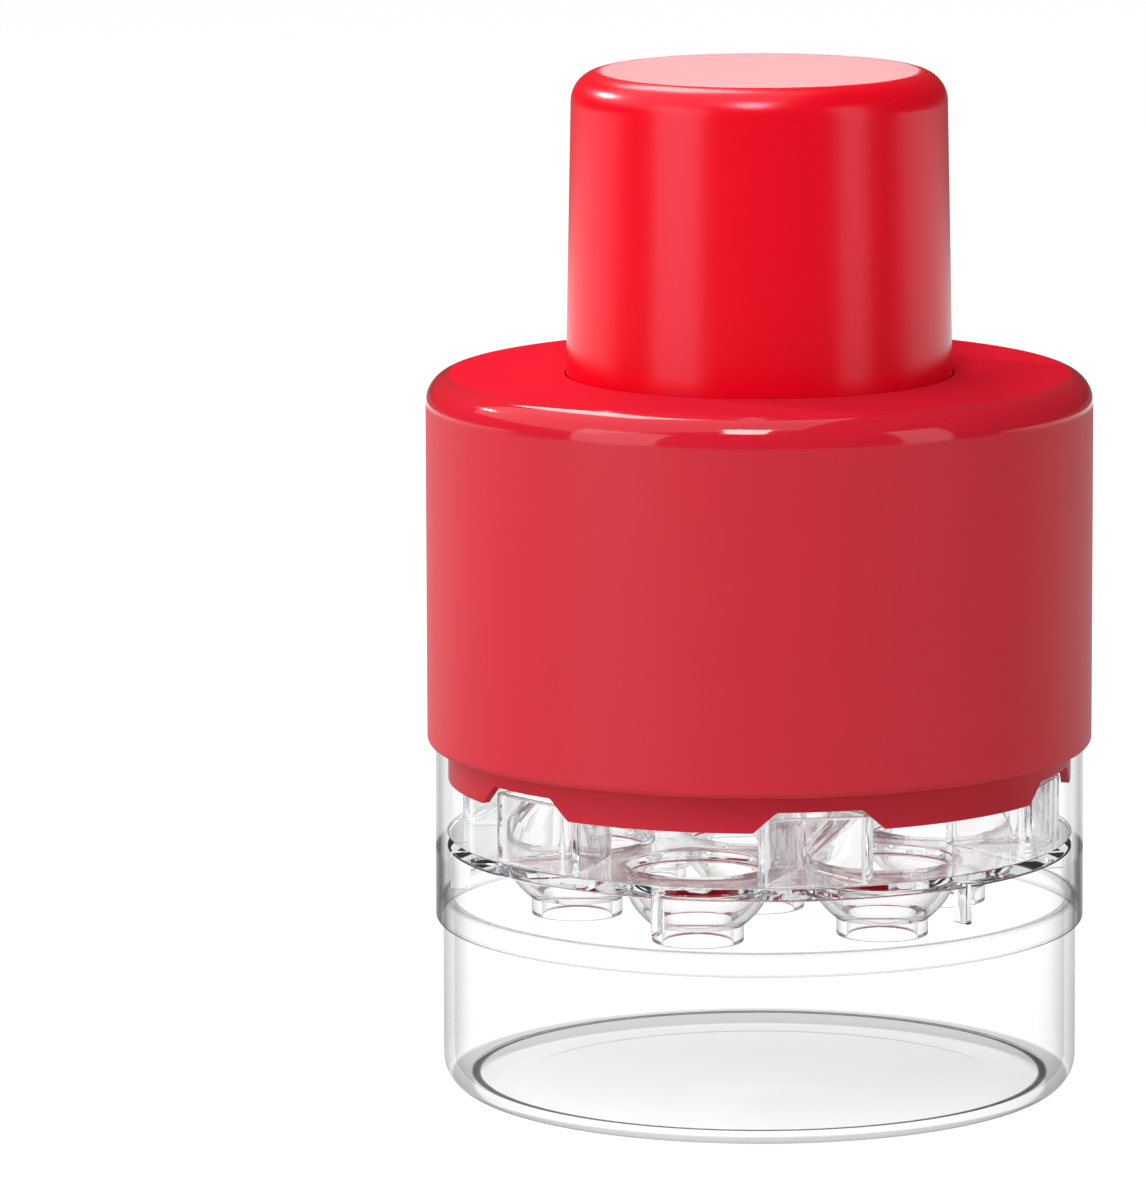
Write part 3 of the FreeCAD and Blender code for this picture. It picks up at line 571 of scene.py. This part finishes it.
def notch():
    """What is cut from the lip over a post: a trapezoid with rounded corners, run out through the lip."""
    far = NOTCH_LOW + 4 * MM
    outline = rounded(
        (-far, LIP_BOTTOM - 2 * MM, 0),
        (far, LIP_BOTTOM - 2 * MM, 0),
        (far, LIP_BOTTOM, 0),
        (NOTCH_LOW, LIP_BOTTOM, 0.9 * MM),
        (NOTCH_HIGH, LIP_BOTTOM + NOTCH_RISE, 0.9 * MM),
        (-NOTCH_HIGH, LIP_BOTTOM + NOTCH_RISE, 0.9 * MM),
        (-NOTCH_LOW, LIP_BOTTOM, 0.9 * MM),
        (-far, LIP_BOTTOM, 0),
    )
    across, height = outline.T
    near = np.full(len(outline), LIP_RADIUS - 8 * MM)
    beyond = np.full(len(outline), LIP_RADIUS + 8 * MM)
    grid = np.stack([np.stack([near, across, height], 1), np.stack([beyond, across, height], 1)])
    return woven(grid, capped=True)


def make_return_spring():
    """One unbroken wire, whose middle turns steadily and climbs less in both end turns.

    Each ring of the wire lies round the middle, half the wire away: cos a along the radius plus sin a along
    the direction that is square to the radius and to the wire.
    """
    turns = ACTIVE_TURNS + 2
    t = np.linspace(0, turns, turns * 48 + 1)
    height = SPRING_TOP - SPRING_BOTTOM
    active = (height - SPRING_WIRE - 2 * END_TURN_PITCH) / ACTIVE_TURNS
    climb = np.minimum(t, 1) + np.maximum(t - (turns - 1), 0)
    climb = climb * END_TURN_PITCH + np.clip(t - 1, 0, ACTIVE_TURNS) * active
    angle = TAU * t
    radial = np.stack([np.cos(angle), np.sin(angle), np.zeros_like(angle)], 1)
    middle = radial * SPRING_RADIUS
    middle[:, 2] = SPRING_BOTTOM + SPRING_WIRE / 2 + climb
    along = np.gradient(middle, axis=0)
    along /= np.linalg.norm(along, axis=1)[:, None]
    square = np.cross(radial, along)
    round_wire = np.arange(16) * TAU / 16
    grid = middle[:, None, :] + SPRING_WIRE / 2 * (
        np.cos(round_wire)[None, :, None] * radial[:, None, :]
        + np.sin(round_wire)[None, :, None] * square[:, None, :]
    )
    return solid("return_spring_wire", woven(grid, capped=True))


# Press
def make_press_cap():
    """The glossy cap, with its flange below and the core, bosses and webs inside it."""
    inner_top = CAP_TOP - CAP_WALL
    edge = 0.3 * MM
    profile = rounded(
        (0, inner_top, 0),
        (CAP_TOP_RADIUS - CAP_WALL, inner_top, CAP_ROUND - CAP_WALL),
        (CAP_BASE_RADIUS - CAP_WALL, FLANGE_BOTTOM, 0),
        (FLANGE_RADIUS, FLANGE_BOTTOM, edge),
        (FLANGE_RADIUS, FLANGE_TOP, edge),
        (CAP_BASE_RADIUS, FLANGE_TOP, 0),
        (CAP_BASE_RADIUS, SHOULDER_TOP, 0),
        (CAP_TOP_RADIUS, CAP_TOP, CAP_ROUND),
        (0, CAP_TOP, 0),
    )
    high = inner_top + OVERLAP
    core = column([(0, 0)], CORE_RADIUS, [(0, FLANGE_BOTTOM), (0, high)])
    boss = column([(CAP_BOSS_CIRCLE, 0)], BOSS_RADIUS, [(0, FLANGE_BOTTOM), (0, high)])
    web = block(
        (CORE_RADIUS - OVERLAP, -WEB_THICK / 2, FLANGE_BOTTOM + 0.2 * MM),
        (CAP_BASE_RADIUS - CAP_WALL + OVERLAP, WEB_THICK / 2, FLANGE_BOTTOM + CAP_WEB_RISE),
    )
    bore = column([(0, 0)], CORE_BORE, [(0, FLANGE_BOTTOM - BEYOND), (0, inner_top)])
    pilots = post_like(CAP_BOSS_CIRCLE, PILOT_RADIUS, FLANGE_BOTTOM - BEYOND, FLANGE_BOTTOM + PILOT_DEPTH)
    joined = [core + boss.around(SCREWS, POST_TURN), web.around(SCREWS, POST_TURN)]
    return solid("press_cap_shell", turned(profile), joined, bore + pilots)


def make_plunger_plate():
    """The plate screwed under the cap's flange, with stepped holes for the plungers' heads."""
    edge = 0.3 * MM
    base = turned(rounded(
        (0, CARRIER_BOTTOM, 0),
        (FLANGE_RADIUS, CARRIER_BOTTOM, edge),
        (FLANGE_RADIUS, FLANGE_BOTTOM, edge),
        (0, FLANGE_BOTTOM, 0),
    ))
    seat_low = CARRIER_BOTTOM - SEAT_RING_HEIGHT
    seat = turned(rounded(
        (SEAT_RING, seat_low, edge),
        (SEAT_RING + SEAT_RING_WALL, seat_low, edge),
        (SEAT_RING + SEAT_RING_WALL, CARRIER_BOTTOM + OVERLAP, 0),
        (SEAT_RING, CARRIER_BOTTOM + OVERLAP, 0),
    ), ring=True)
    gap = 0.1 * MM
    hole = turned(np.array([
        (0, CARRIER_BOTTOM - BEYOND),
        (PLUNGER_RADIUS + gap, CARRIER_BOTTOM - BEYOND),
        (PLUNGER_RADIUS + gap, HEAD_LEVEL),
        (PLUNGER_HEAD + gap, HEAD_LEVEL),
        (PLUNGER_HEAD + gap, FLANGE_BOTTOM + BEYOND),
        (0, FLANGE_BOTTOM + BEYOND),
    ]), SMALL_STEPS)
    screws = post_like(CAP_BOSS_CIRCLE, SCREW_HOLE, CARRIER_BOTTOM - BEYOND, FLANGE_BOTTOM + BEYOND)
    cut = hole + hole.moved(SEAT_CIRCLE).around(SEATS) + screws
    return solid("plunger_plate_disc", base, [seat], cut)


def make_plunger(name, x, y):
    """Flat head, round rod, and a hollow crown of four prongs at the tip."""
    profile = rounded(
        (0, TIP_BOTTOM + CROWN_DEPTH, 0),
        (TIP_RADIUS - CROWN_LIP, TIP_BOTTOM, 0.2 * MM),
        (TIP_RADIUS, TIP_BOTTOM, 0.2 * MM),
        (PLUNGER_RADIUS, TIP_BOTTOM + TIP_LENGTH, 0),
        (PLUNGER_RADIUS, HEAD_LEVEL, 0.2 * MM),
        (PLUNGER_HEAD, HEAD_LEVEL, 0.2 * MM),
        (PLUNGER_HEAD, FLANGE_BOTTOM, 0.2 * MM),
        (0, FLANGE_BOTTOM, 0),
    )
    half = CROWN_SLOT / 2
    reach = 1.5 * PLUNGER_RADIUS
    low, high = TIP_BOTTOM - BEYOND, TIP_BOTTOM + CROWN_DEPTH
    arms = [(half, -half), (reach, -half), (reach, half), (half, half)]
    arms += [(half, reach), (-half, reach), (-half, half), (-reach, half)]
    arms += [(-reach, -half), (-half, -half), (-half, -reach), (half, -reach)]
    cross = np.array(arms)
    grid = np.stack([np.column_stack([cross, np.full(len(cross), level)]) for level in (low, high)])
    slots = woven(grid, capped=True)
    return solid(name, turned(profile, SMALL_STEPS).moved(x, y), cut=slots.moved(x, y))


def make_screws(name, circle, head_level):
    """Three pan-head screws, heads below, with a straight slot each."""
    low = head_level - SCREW_HEAD_THICK
    point = head_level + SCREW_LENGTH
    profile = rounded(
        (0, low, 0),
        (SCREW_HEAD, low, 0.7 * MM),
        (SCREW_HEAD, head_level, 0.1 * MM),
        (SCREW_RADIUS, head_level, 0),
        (SCREW_RADIUS, point - SCREW_RADIUS, 0),
        (0, point, 0),
    )
    screw = turned(profile, SMALL_STEPS).moved(circle).around(SCREWS, POST_TURN)
    reach = 1.2 * SCREW_HEAD
    slot = block(
        (circle - reach, -SCREW_SLOT / 2, low - BEYOND),
        (circle + reach, SCREW_SLOT / 2, low + SCREW_SLOT_DEPTH),
    )
    return solid(name, screw, cut=slot.around(SCREWS, POST_TURN))


# Materials
class Value:
    """One shader socket of a paint. Arithmetic on it adds Math nodes."""

    def __init__(self, paint, socket):
        self.paint = paint
        self.socket = socket

    def maths(self, operation, *values):
        return self.paint.node("Math", {"operation": operation}, dict(enumerate(values)))

    def clamped(self):
        return self.paint.node("Clamp", None, {0: self})

    def __add__(self, other):
        return self.maths("ADD", self, other)

    __radd__ = __add__

    def __sub__(self, other):
        return self.maths("SUBTRACT", self, other)

    def __rsub__(self, other):
        return self.maths("SUBTRACT", other, self)

    def __mul__(self, other):
        return self.maths("MULTIPLY", self, other)


class Paint:
    """A node tree of a material or the world, and the one method that adds a node to it."""

    def __init__(self, owner):
        owner.use_nodes = True
        self.owner = owner
        self.tree = owner.node_tree
        self.tree.nodes.clear()

    def node(self, kind, settings=None, inputs=None, output=0):
        """Add a node of a kind, set it up, then fill its sockets with numbers or links."""
        node = self.tree.nodes.new(f"ShaderNode{kind}")
        for name, value in (settings or {}).items():
            if name == "stops":
                while len(node.color_ramp.elements) < len(value):
                    node.color_ramp.elements.new(1.0)
                for element, (place, colour) in zip(node.color_ramp.elements, value):
                    element.position = place
                    element.color = colour
            else:
                setattr(node, name, value)
        for name, value in (inputs or {}).items():
            if isinstance(value, Value):
                self.tree.links.new(value.socket, node.inputs[name])
            else:
                node.inputs[name].default_value = value
        return Value(self, node.outputs[output]) if node.outputs else None


def linear(red, green, blue):
    """The shader's colour for one written as 0 to 255, with alpha."""
    shares = [c / 255 for c in (red, green, blue)]
    return tuple(c / 12.92 if c <= 0.04045 else ((c + 0.055) / 1.055) ** 2.4 for c in shares) + (1.0,)


def blended(paint, amount, one, other):
    """Colour one where amount is 0 and the other where it is 1."""
    return paint.node("Mix", {"data_type": "RGBA"}, {0: amount, 6: one, 7: other}, 2)


def noise(paint, size, detail=2.0, stretch=(1, 1, 1)):
    """Noise from 0 to 1 over the piece's own coordinates, whose blobs are about size metres across."""
    place = paint.node("TexCoord", output="Object")
    scaled = paint.node("Mapping", None, {"Vector": place, "Scale": stretch})
    return paint.node("TexNoise", None, {"Vector": scaled, "Scale": 1 / size, "Detail": detail})


def whereabouts(paint):
    """The distance from the axis and the height, on the piece's own coordinates."""
    place = paint.node("TexCoord", output="Object")
    flat = paint.node("VectorMath", {"operation": "MULTIPLY"}, {0: place, 1: (1, 1, 0)})
    radius = paint.node("VectorMath", {"operation": "LENGTH"}, {0: flat}, "Value")
    return radius, paint.node("SeparateXYZ", None, {0: place}, "Z")


def slope(value, start, width):
    """0 up to a start, and from there a straight rise to 1 over a width."""
    return ((value - start) * (1 / width)).clamped()


def band(value, low, high, soft):
    """1 where a value lies between low and high, and straight slopes of width soft inside both ends."""
    return slope(value, low, soft) * slope(high - value, 0, soft)


def at_least(least, amount):
    """The least where an amount is 0, and a straight rise to 1 where it is 1."""
    return amount * (1 - least) + least


def grey(value):
    return (value, value, value, 1.0)


def ramp(paint, stops, value):
    """A grey for a value, from stops (value, grey) with straight slopes between them."""
    colours = [(place, grey(amount)) for place, amount in stops]
    return paint.node("ValToRGB", {"stops": colours}, {"Fac": value}, "Color")


# Opaque plastics: the size of the pigment's clouds, how much the gloss varies, and how soft the edges of
# the polished and matt places are
CLOUD_SIZE = 18 * MM
GLOSS_SPREAD = 0.06
POLISH_EDGE = 0.8 * MM
MATT_EDGE = 0.2 * MM

# Clear plastics, by the share that a surface is turned away: the painted shade that greys the thin walls,
# and the painted shade that darkens the thick parts edge on. Then how much painted shade greys the cup's
# inside corner, foot and rim and the skirt's lower edge, and the share of the walls' painted shade that is
# left on inner faces and on the tray above its plate.
CUP_PAINTED_EDGE_SHADE = [(0.35, 0.004), (0.62, 0.05), (0.76, 0.19), (0.84, 0.28), (0.95, 0.42)]
TRAY_PAINTED_EDGE_SHADE = [(0.35, 0.004), (0.62, 0.03), (0.73, 0.12), (0.79, 0.55), (0.84, 0.93), (0.95, 0.97)]
THICK_PAINTED_SHADE = [(0.30, 1.0), (0.55, 0.84), (0.72, 0.68), (0.86, 0.42), (0.95, 0.15), (1.0, 0.08)]
RING_SHADE = 0.80
FOOT_SHADE = 0.36
RIM_SHADE = 0.18
SKIRT_EDGE_SHADE = 0.14
CUP_INNER_SHARE = 0.4
TRAY_INNER_SHARE = 0.3
TRAY_UPPER_SHARE = 0.4


def moulded_plastic(name, colour, shade, roughness, specular, grain, depth, tint=(1, 1, 1, 1), polish=None):
    """Opaque moulded plastic: a faint cloud of pigment, fine grain in its bump and a little in its gloss.

    polish is (lowest, highest, roughness) of the range of heights where the mould was polished: there the
    gloss is sharp and the grain fades. Above it the plastic is matt.
    """
    paint = Paint(bpy.data.materials.new(name))
    cloud = noise(paint, CLOUD_SIZE, 3.0)
    texture = noise(paint, grain, 2.0)
    dullness = texture * GLOSS_SPREAD + (roughness - GLOSS_SPREAD / 2)
    if polish is not None:
        _, height = whereabouts(paint)
        low, high, shine = polish
        polished = slope(height, low, POLISH_EDGE)
        dullness = dullness - polished * (roughness - shine)
        texture = texture * (1 - polished)
    bump = paint.node("Bump", None, {"Strength": 0.6, "Distance": depth, "Height": texture})
    pigment = blended(paint, cloud, colour, shade)
    surface = paint.node("BsdfPrincipled", None, {
        "Base Color": pigment,
        "Roughness": dullness,
        "Specular IOR Level": specular,
        "Specular Tint": tint,
        "Normal": bump,
    })
    if polish is not None:
        matt = paint.node("BsdfPrincipled", None, {
            "Base Color": pigment,
            "Roughness": 0.6,
            "Specular IOR Level": 0.0,
        })
        above = slope(height, high - 1.1 * MATT_EDGE, MATT_EDGE)
        surface = paint.node("MixShader", None, {0: above, 1: surface, 2: matt})
    paint.node("OutputMaterial", None, {"Surface": surface})
    return paint.owner


def turned_away(paint):
    """0 where a surface faces the eye, and 1 where it stands edge on."""
    return paint.node("LayerWeight", None, {"Blend": 0.5}, "Facing")


def thin_wall(paint, amount, colour):
    """A clear wall too thin to bend what is seen through it, greyed by the amount of painted shade."""
    gloss = noise(paint, 6 * MM, 2.0)
    return paint.node("BsdfPrincipled", None, {
        "Base Color": colour,
        "Roughness": 0.03 + gloss * 0.03,
        "Specular IOR Level": 0.03,
        "Alpha": amount.clamped(),
    })


def clear_cup_plastic(name):
    """The cup.

    Its clear walls grey with painted shade towards their outlines, a ring of painted shade marks where the
    inside corner starts, and painted shade greys the floor's edge all round the foot and the rim at the top.
    """
    paint = Paint(bpy.data.materials.new(name))
    radius, height = whereabouts(paint)
    # Painted shade: the walls grey as they turn edge on
    painted_edge_shade = ramp(paint, CUP_PAINTED_EDGE_SHADE, turned_away(paint))
    outside = slope(radius, CUP_RADIUS - 1.2 * MM, 0.4 * MM)
    corner = CUP_RADIUS - CUP_CORNER
    # Painted shade: a dark ring where the inside corner starts, a grey edge round the foot, and a grey rim
    ring = band(radius, corner - 0.9 * MM, corner + 1.1 * MM, 0.5 * MM)
    ring = ring * band(height, CUP_FLOOR - 0.1 * MM, CUP_FLOOR + 1.0 * MM, 0.05 * MM)
    foot = band(height, -BEYOND, CUP_FLOOR, 0.4 * MM) * slope(radius, corner, 1.0 * MM)
    rim = band(height, CUP_TOP - 0.6 * MM, CUP_TOP + BEYOND, 0.1 * MM)
    amount = painted_edge_shade * at_least(CUP_INNER_SHARE, outside)
    amount = amount + ring * RING_SHADE + foot * FOOT_SHADE + rim * RIM_SHADE
    # The grey of the painted shade
    paint.node("OutputMaterial", None, {"Surface": thin_wall(paint, amount, linear(84, 84, 86))})
    return paint.owner


def clear_tray_plastic(name, absorption, density):
    """The tray: a thin clear wall round a plate, bowls and posts that bend what is seen through them."""
    paint = Paint(bpy.data.materials.new(name))
    radius, height = whereabouts(paint)
    wave = noise(paint, 14 * MM, 1.0, (1, 1, 0.35))
    bump = paint.node("Bump", None, {"Strength": 0.5, "Distance": 0.04 * MM, "Height": wave})
    gloss = noise(paint, 6 * MM, 2.0)
    # Painted shade: the thick parts darken as they turn edge on, the posts and bowls by the square of the
    # plate's share
    clear = ramp(paint, THICK_PAINTED_SHADE, turned_away(paint))
    plate = band(height, PLATE_BOTTOM - 0.1 * MM, PLATE_TOP + 0.1 * MM, 0.1 * MM)
    thick = paint.node("BsdfPrincipled", None, {
        "Base Color": clear * clear * (1 - plate) + plate,
        "Roughness": 0.01 + gloss * 0.02,
        "IOR": 1.5,
        "Transmission Weight": 1.0,
        "Normal": bump,
    })
    outside = slope(radius, TRAY_RADIUS - SKIRT_WALL / 2, 0.1 * MM)
    below = slope(PLATE_BOTTOM - height, 0, 1.0 * MM)
    # Painted shade greys the skirt's lower edge
    edge = band(height, SKIRT_BOTTOM - BEYOND, SKIRT_BOTTOM + 0.6 * MM, 0.1 * MM)
    # Painted shade: the wall greys as it turns edge on
    painted_edge_shade = ramp(paint, TRAY_PAINTED_EDGE_SHADE, turned_away(paint))
    painted_edge_shade = painted_edge_shade * at_least(TRAY_UPPER_SHARE, below) * at_least(TRAY_INNER_SHARE, outside)
    painted_edge_shade = painted_edge_shade + edge * SKIRT_EDGE_SHADE
    # The grey of the painted shade
    wall = thin_wall(paint, painted_edge_shade, linear(34, 34, 36))
    wall_here = slope(radius, TRAY_RADIUS - TRAY_WALL - 0.1 * MM, 0.05 * MM)
    surface = paint.node("MixShader", None, {0: wall_here, 1: thick, 2: wall})
    inside = paint.node("VolumeAbsorption", None, {"Color": absorption, "Density": density})
    paint.node("OutputMaterial", None, {"Surface": surface, "Volume": inside})
    return paint.owner


def drawn_steel(name, colour, roughness, grain):
    """Bright metal with fine drawing marks in its gloss."""
    paint = Paint(bpy.data.materials.new(name))
    marks = noise(paint, grain, 4.0, (1, 1, 6))
    surface = paint.node("BsdfPrincipled", None, {
        "Base Color": blended(paint, marks, colour, tuple(c * 0.8 for c in colour[:3]) + (1.0,)),
        "Metallic": 1.0,
        "Roughness": roughness + marks * 0.15,
    })
    paint.node("OutputMaterial", None, {"Surface": surface})
    return paint.owner


def dress(piece, material, node, body):
    """Give a piece its material, hide the CAD part it stands for, and let it ride on its body."""
    piece.data.materials.clear()
    piece.data.materials.append(material)
    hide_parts(node)
    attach(piece, body)


clear_cup = clear_cup_plastic("clear_cup_plastic")
clear_tray = clear_tray_plastic("clear_tray_plastic", linear(214, 218, 222), 20.0)
cap_red = moulded_plastic(
    "glossy_cap_red", linear(233, 0, 29), linear(228, 0, 26), 0.24, 0.45, 0.5 * MM, 0.002 * MM,
    tint=(1.0, 0.80, 1.0, 1.0),
)
housing_red = moulded_plastic(
    "satin_housing_red", linear(206, 30, 48), linear(201, 28, 45), 0.50, 0.42, 0.35 * MM, 0.006 * MM,
    polish=(SHOULDER_TOP - SHOULDER_ROUND - 0.5 * MM, SHOULDER_TOP, 0.07),
)
guide_red = moulded_plastic(
    "satin_guide_red", linear(206, 32, 50), linear(200, 30, 47), 0.48, 0.25, 0.35 * MM, 0.006 * MM
)
inner_white = moulded_plastic(
    "inner_white", linear(226, 224, 218), linear(220, 218, 212), 0.40, 0.4, 0.35 * MM, 0.006 * MM
)
plunger_white = moulded_plastic(
    "plunger_white", linear(236, 235, 230), linear(230, 229, 224), 0.30, 0.4, 0.35 * MM, 0.004 * MM
)
spring_steel = drawn_steel("spring_steel", linear(190, 190, 188), 0.22, 0.6 * MM)
screw_steel = drawn_steel("screw_steel", linear(205, 205, 202), 0.25, 0.4 * MM)

dress(make_pit_cup(), clear_cup, "pit_cup", "cup")
dress(make_cherry_tray(), clear_tray, "cherry_tray", "tray")
dress(make_housing(), housing_red, "housing", "upper_unit")
dress(make_guide_plate(), guide_red, "guide_plate", "upper_unit")
dress(make_press_cap(), cap_red, "press_cap", "press")
dress(make_plunger_plate(), inner_white, "plunger_plate", "press")
dress(make_plunger("plunger_centre_rod", 0, 0), plunger_white, "plunger_centre", "press")
for seat in range(1, SEATS + 1):
    low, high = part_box(f"plunger_{seat}")
    middle = (low + high) / 2
    plunger = make_plunger(f"plunger_{seat}_rod", middle.x, middle.y)
    dress(plunger, plunger_white, f"plunger_{seat}", "press")
dress(
    make_screws("guide_plate_screw_set", BOSS_CIRCLE, TRAY_RIM),
    screw_steel, "guide_plate_screws", "upper_unit",
)
dress(
    make_screws("cap_screw_set", CAP_BOSS_CIRCLE, CARRIER_BOTTOM),
    screw_steel, "cap_screws", "press",
)
spring = make_return_spring()
dress(spring, spring_steel, "return_spring", "upper_unit")
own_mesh(spring)


# Studio: the strength of the light from all round, what gloss sees of the room, and how bright the ceiling
# is through clear plastic, by height
ROOM_LIGHT = 0.22
DARK_ROOM = 0.05
CEILING = [(0.0, 1.0), (0.20, 1.0), (0.42, 0.12)]

# Floor: its size, level and grey, and the white glow that hides FLOOR_HIDDEN of its shading where it is
# seen. Where gloss mirrors the floor, its brightness goes by the place FLOOR_START plus FLOOR_SCALE for each
# metre behind the object.
FLOOR_REACH = 12.0
FLOOR_LEVEL = -0.2 * MM
FLOOR_GREY = 0.8
FLOOR_GLOW = 1.25
FLOOR_HIDDEN = 0.75
FLOOR_START = 0.4
FLOOR_SCALE = 0.35
MIRRORED_FLOOR = [(0.30, 0.04), (0.42, 0.30), (0.50, 1.15), (0.77, 1.15), (0.86, 0.15)]

# Name, azimuth, elevation, distance, width, height and power of the lamps. The first two give the long soft
# stripes, the edge lamp the cap's corner glint, the back left and top ones the shoulder's glints, the
# overhead one the light on the flat tops, and the back one the pale top of the cap.
SOFTBOXES = [
    ("left_softbox", VIEW_AZIMUTH - 50, 14, 0.9, 0.50, 0.8, 2.55),
    ("right_softbox", VIEW_AZIMUTH + 58, 14, 0.9, 0.30, 0.8, 1.15),
    ("edge_softbox", VIEW_AZIMUTH - 122, 32, 1.0, 0.02, 0.02, 3.3),
    ("back_left_softbox", VIEW_AZIMUTH - 159, 54, 1.0, 0.30, 0.46, 3.0),
    ("top_softbox", VIEW_AZIMUTH - 6, 56, 1.0, 0.20, 0.32, 3.6),
    ("overhead_softbox", VIEW_AZIMUTH - 90, 62, 1.1, 1.5, 1.8, 9.0),
    ("back_softbox", VIEW_AZIMUTH + 180, 15, 1.6, 0.17, 0.17, 0.36),
]


def towards(azimuth, elevation):
    """The direction from the object to something at an azimuth and an elevation, in degrees."""
    a, e = math.radians(azimuth), math.radians(elevation)
    return Vector((math.sin(a) * math.cos(e), -math.cos(a) * math.cos(e), math.sin(e)))


def light_path(paint):
    """Camera, bright and gloss, each 1 for the rays it stands for and 0 for others.

    Camera is for rays from the camera, bright is for those and all that have been through clear material,
    and gloss is for reflections off any outside.
    """
    camera = paint.node("LightPath", output="Is Camera Ray")
    glossy = paint.node("LightPath", output="Is Glossy Ray")
    through = paint.node("LightPath", output="Is Transmission Ray")
    inside = paint.node("LightPath", output="Transmission Depth").clamped()
    bright = (camera + through + glossy * inside).clamped()
    return camera, bright, glossy * (1 - inside)


def light_the_world():
    """Plain white light from all round.

    The camera sees white, clear plastic sees white with a dim ceiling, and gloss sees a dark room.
    """
    world = bpy.data.worlds.new("studio")
    bpy.context.scene.world = world
    paint = Paint(world)
    direction = paint.node("TexCoord", output="Generated")
    height = paint.node("SeparateXYZ", None, {0: direction}, "Z")
    ceiling = ramp(paint, CEILING, height)
    camera, bright, glossy = light_path(paint)
    background = blended(paint, glossy, blended(paint, camera, ceiling, grey(1.0)), grey(DARK_ROOM))
    plain = paint.node("Background", None, {"Color": grey(1.0), "Strength": ROOM_LIGHT})
    shown = paint.node("Background", None, {"Color": background, "Strength": 1.0})
    surface = paint.node("MixShader", None, {0: (bright + glossy).clamped(), 1: plain, 2: shown})
    paint.node("OutputWorld", None, {"Surface": surface})


def lay_floor():
    """A pale floor that keeps the object's shadow and is white where it is seen."""
    mesh = bpy.data.meshes.new("floor")
    signs = [(-1, -1), (1, -1), (1, 1), (-1, 1)]
    corners = [(x * FLOOR_REACH, y * FLOOR_REACH, FLOOR_LEVEL) for x, y in signs]
    mesh.from_pydata(corners, [], [(0, 1, 2, 3)])
    floor = bpy.data.objects.new("floor", mesh)
    bpy.context.scene.collection.objects.link(floor)
    paint = Paint(bpy.data.materials.new("white_floor"))
    place = paint.node("TexCoord", output="Object")
    backwards = tuple(-towards(VIEW_AZIMUTH, 0))
    behind = paint.node("VectorMath", {"operation": "DOT_PRODUCT"}, {0: place, 1: backwards}, "Value")
    lit = paint.node("BsdfDiffuse", None, {"Color": grey(FLOOR_GREY)})
    glow = paint.node("Emission", None, {"Color": grey(1.0), "Strength": FLOOR_GLOW})
    mirrored = ramp(paint, MIRRORED_FLOOR, behind * FLOOR_SCALE + FLOOR_START)
    sheen = paint.node("Emission", None, {"Color": mirrored, "Strength": 1.0})
    _, bright, glossy = light_path(paint)
    seen = paint.node("MixShader", None, {0: bright * FLOOR_HIDDEN, 1: lit, 2: glow})
    surface = paint.node("MixShader", None, {0: glossy, 1: seen, 2: sheen})
    paint.node("OutputMaterial", None, {"Surface": surface})
    mesh.materials.append(paint.owner)


def add_softbox(name, azimuth, elevation, distance, width, height, power):
    """A soft lamp that looks at the middle of the object."""
    lamp = bpy.data.lights.new(name, "AREA")
    lamp.shape = "RECTANGLE"
    lamp.size = width
    lamp.size_y = height
    lamp.energy = power
    box = bpy.data.objects.new(name, lamp)
    bpy.context.scene.collection.objects.link(box)
    away = towards(azimuth, elevation)
    box.location = MIDDLE + away * distance
    box.rotation_euler = away.to_track_quat("Z", "Y").to_euler()


def let_light_through():
    """Enough bounces for light to run through the whole clear tray and come out again."""
    cycles = bpy.context.scene.cycles
    cycles.max_bounces = 32
    cycles.transmission_bounces = 32
    cycles.glossy_bounces = 24
    cycles.transparent_max_bounces = 24


def place_camera():
    """The photograph's view. The axis stands right of its middle, so the camera aims left of the axis."""
    lens = bpy.data.cameras.new("camera")
    lens.sensor_width = SENSOR
    lens.lens = SENSOR * FOCAL_PIXELS / FRAME_HEIGHT_PIXELS
    camera = bpy.data.objects.new("camera", lens)
    bpy.context.scene.collection.objects.link(camera)
    away = towards(VIEW_AZIMUTH, VIEW_ELEVATION)
    aim = away.to_track_quat("Z", "Y").to_matrix()
    yaw = Matrix.Rotation(math.atan(AXIS_RIGHT_PIXELS / FOCAL_PIXELS), 3, "Y")
    camera.matrix_world = Matrix.Translation(MIDDLE + away * VIEW_DISTANCE) @ (aim @ yaw).to_4x4()
    bpy.context.scene.camera = camera


light_the_world()
lay_floor()
for softbox in SOFTBOXES:
    add_softbox(*softbox)
let_light_through()
place_camera()
bpy.context.scene.view_settings.view_transform = "Standard"
